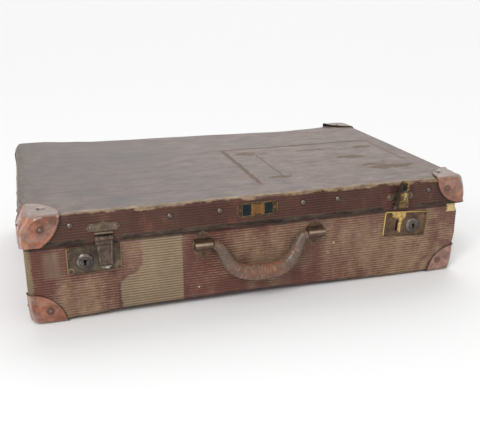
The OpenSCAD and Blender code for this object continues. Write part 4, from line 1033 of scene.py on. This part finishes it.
def leather_corner(half, depth_side, side):
    node = f"{half}_corner_{depth_side}_{side}"
    piece = copy_node(node, node + "_leather")
    low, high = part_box(node)
    left, near, top = side == "left", depth_side == "front", half == "lid"
    inward = Vector((1 if left else -1, 1 if near else -1, -1 if top else 1))
    tip = Vector([low[i] + LEATHER_T if inward[i] > 0 else high[i] - LEATHER_T for i in range(3)])
    cut_up = 4 * MM
    reach = math.hypot(max(high.x - low.x, high.y - low.y) - LEATHER_T, cut_up)
    modify(piece, "REMESH", mode="VOXEL", voxel_size=LEATHER_CELL)
    modify(piece, "SMOOTH", factor=0.5, iterations=3)
    uneven(piece, 0.016, 0.0009)
    rivets = [(RIVET_IN, 0, RIVET_UP), (0, RIVET_IN, RIVET_UP)]
    if top:
        rivets.append((RIVET_IN, RIVET_IN, 0))
    marks = [piece.data.attributes.new(key, "FLOAT", "POINT").name for key in LEATHER_MARKS]
    marks = [piece.data.attributes[name].data for name in marks]
    facing_up = [vertex.normal.z for vertex in piece.data.vertices]
    for vertex in piece.data.vertices:
        deep = (vertex.co - tip) * inward
        core = Vector([max(d, CORNER_R) for d in deep])
        out = (deep - core).normalized() * inward
        from_cut = reach - (deep + Vector((0, 0, cut_up))).length
        rim = max(0, min(1, 1 - from_cut / FLARE_W))
        from_rivet = min((deep - Vector(r)).length for r in rivets)
        dish = max(0, 1 - from_rivet / DISH_R)
        stands = 1.6 * MM if top and near else 0.9 * MM
        vertex.co += out * (stands * rim ** 2 - 0.9 * MM * dish)
        vertex.co += blunted(vertex.co)
        if not top:
            vertex.co.z = max(vertex.co.z, cad_box[0][2])
        # Painted shade: a ring round each rivet
        grime = 1 - step(abs(from_rivet - 4.2 * MM), 0.6 * MM, 2 * MM)
        # Painted highlight along the ridge where the corner's sides meet
        edge = step(max(deep.x, deep.y), 5 * MM, 11 * MM)
        crest = 1 - step(abs(deep.x - deep.y), 0, 4.5 * MM)
        ridge = (1 - edge) * crest * (1 - step(rim, 0.3, 0.7))
        # Painted reflection on the faces that look up
        dust = step(facing_up[vertex.index], 0.5, 0.9) if top else 0
        for mark, value in zip(marks, (rim, grime, ridge, dust)):
            mark[vertex.index].value = value
    smooth(piece, 80)
    kind = "back" if depth_side == "back" else half + "_" + side
    dress(piece, LEATHERS[kind], half, node)


for half in ("base", "lid"):
    for depth_side in ("front", "back"):
        for side in SIDES:
            leather_corner(half, depth_side, side)


# Grip: half of its centre line, as places from the middle and depths below the pins, with its radius
GRIP_LINE = ((0, 44.3, 11.2), (11, 44, 11.1), (20.5, 42.6, 10.8), (29, 40.2, 10.3), (36.8, 36.2, 9.8),
             (43, 30, 9.2), (47.6, 22.8, 8.6), (51.4, 14.8, 8), (55.4, 7.4, 7.2), (59.6, 2.6, 6.4),
             (65.2, 0.4, 6))
GRIP_LEAN = math.radians(6.58)


def grip():
    pins = joint_at["handle_swing"]
    half = [Vector(point) for point in GRIP_LINE]
    line = [Vector((-p.x, p.y, p.z)) for p in reversed(half[1:])] + half
    centres = []
    for across, down, _ in line:
        drop = -down * MM
        centres.append(pins + Vector((across * MM, math.sin(GRIP_LEAN) * drop, math.cos(GRIP_LEAN) * drop)))
    curve = bpy.data.curves.new("grip_leather_wrap", "CURVE")
    curve.dimensions = "3D"
    curve.bevel_depth = 1
    curve.bevel_resolution = 9
    curve.use_fill_caps = True
    curve.resolution_u = 10
    spline = curve.splines.new("BEZIER")
    spline.bezier_points.add(len(line) - 1)
    for point, centre, (_, _, radius) in zip(spline.bezier_points, centres, line):
        point.co = centre
        point.radius = radius * MM
        point.handle_left_type = point.handle_right_type = "AUTO"
    only(new_object("grip_leather_wrap", curve))
    bpy.ops.object.convert(target="MESH")
    piece = bpy.context.object
    open_edit(piece)
    weld_all(1e-6)
    bpy.ops.mesh.normals_make_consistent(inside=False)
    close_edit()
    modify(piece, "SUBSURF", levels=1, render_levels=1)
    steps = [0]
    for before, after in zip(centres, centres[1:]):
        steps.append(steps[-1] + (after - before).length)
    keys = [piece.data.attributes.new(key, "FLOAT", "POINT") for key in ("along", "round")]
    for vertex in piece.data.vertices:
        best = None
        for i, (before, after) in enumerate(zip(centres, centres[1:])):
            way = after - before
            share = max(0, min(1, (vertex.co - before).dot(way) / way.length_squared))
            near = before + way * share
            off = (vertex.co - near).length
            if best is None or off < best[0]:
                best = (off, steps[i] + share * way.length, vertex.co - near)
        _, along, out = best
        keys[0].data[vertex.index].value = along
        keys[1].data[vertex.index].value = math.atan2(out.y, out.length * math.copysign(1, out.z))
    return piece


grip_piece = grip()
smooth(grip_piece, 60)
dress(grip_piece, GRIP, "handle", "handle_grip")


# Paper linings, which follow the warped boards
def lining(node, body, shift):
    piece = copy_node(node, node + "_paper")
    low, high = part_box(node)
    open_edit(piece)
    for axis, count in ((0, 40), (1, 16)):
        slice_evenly(axis, low[axis], high[axis], count)
    close_edit()
    move_points(piece, shift)
    smooth(piece, 35)
    dress(piece, PAPER, body, node)


lining("base_lining", "base", arched)
lining("lid_lining", "lid", sagged)


# Metal and wooden nodes keep their shape and get softened, rubbed edges and their finish
def finish_node(node, finish, width=0, *edge):
    """Width is that of the softened edges, in millimetres, and edge the finish on them."""
    piece = nodes[node]
    coat(piece, finish, *edge)
    if not width:
        return
    piece.modifiers.new("weld", "WELD").merge_threshold = 1e-5
    soft = piece.modifiers.new("soft", "BEVEL")
    soft.width = width * MM
    soft.segments = 2
    soft.limit_method = "ANGLE"
    soft.angle_limit = math.radians(38)
    soft.use_clamp_overlap = True
    if edge:
        soft.material = 1


# Finish, softened width and rubbed edge, by the start of a node's name; the longest fit is taken
NODE_FINISHES = {
    "base_frame": (WOOD, 0.4), "lid_frame": (WOOD,),
    "lid_frame_front": (WOOD, 0.4), "lid_frame_back": (WOOD, 0.4),
    "base_corner_rivets": (RIVET_METAL,), "lid_corner_rivets": (RIVET_METAL,),
    "lid_frame_rivets": (RIVET_METAL,), "hasp_plate_rivets": (RIVET_METAL,),
    "lock_plate_rivets": (BRASS,), "handle_bracket_rivets": (BRASS,), "name_plate_nails": (BRASS,),
    "lock_case": (DARK_STEEL,), "hasp_staple": (DARK_STEEL, 0.2, EDGE_STEEL),
    "hinge_base_leaf": (STEEL, 0.3, EDGE_STEEL), "hinge_lid_leaf": (STEEL, 0.3, EDGE_STEEL),
    "hinge": (STEEL,), "hasp_pins": (STEEL,), "handle_core": (STEEL,), "lock_bolt": (STEEL,),
    "name_plate": (NAME_BRASS, 0.2, EDGE_BRASS), "name_plate_enamel": (ENAMEL, 0.2, EDGE_BRASS),
}
for side in SIDES:
    NODE_FINISHES.update({
        "lock_plate_" + side: (PLATES[side],),
        "handle_bracket_" + side: (BRACKETS[side], 0.3, EDGE_BRASS),
        "hasp_plate_" + side: (HASPS[side], 0.55, EDGE_BRASS),
        "hasp_flap_" + side: (FLAPS[side], 0.3, EDGE_BRASS),
        "lock_boss_" + side: (BOSSES[side], 0.3, EDGE_STEEL),
        "key_plug_" + side: (BOSSES[side], 0.15),
    })
for name in nodes:
    fitting = [start for start in NODE_FINISHES if name.startswith(start)]
    if fitting:
        finish_node(name, *NODE_FINISHES[max(fitting, key=len)])


# Floor, backdrop and soft light
def studio():
    bpy.ops.object.select_all(action="DESELECT")
    bpy.ops.mesh.primitive_plane_add(size=60, location=(0, 0, -0.0005))
    floor = bpy.context.object
    floor.name = "floor"
    pale = Finish("floor_pale", roughness=0.9)
    pale.set("Base Color", (0.86, 0.86, 0.86, 1))
    floor.data.materials.append(pale.material)
    world = bpy.data.worlds.new("studio")
    bpy.context.scene.world = world
    world.use_nodes = True
    background = world.node_tree.nodes["Background"]
    background.inputs["Color"].default_value = (1, 1, 1, 1)
    background.inputs["Strength"].default_value = 0.6
    for name, kind, place, size, power in (("key", "SUN", (-1.1, -1.3, 2.0), 0.35, 1.05),
                                           ("sky", "SUN", (0.5, 1.4, 1.7), 0.9, 1.0),
                                           ("side", "AREA", (-1.0, -1.2, 1.0), 0.3, 6)):
        light = bpy.data.lights.new(name, kind)
        if kind == "SUN":
            light.angle = size
        else:
            light.size = size
        light.energy = power
        lamp = new_object(name, light)
        lamp.location = place
        lamp.rotation_euler = (Vector((0, 0, 0.08)) - Vector(place)).to_track_quat("-Z", "Y").to_euler()
    bpy.context.scene.view_settings.view_transform = "Standard"


studio()
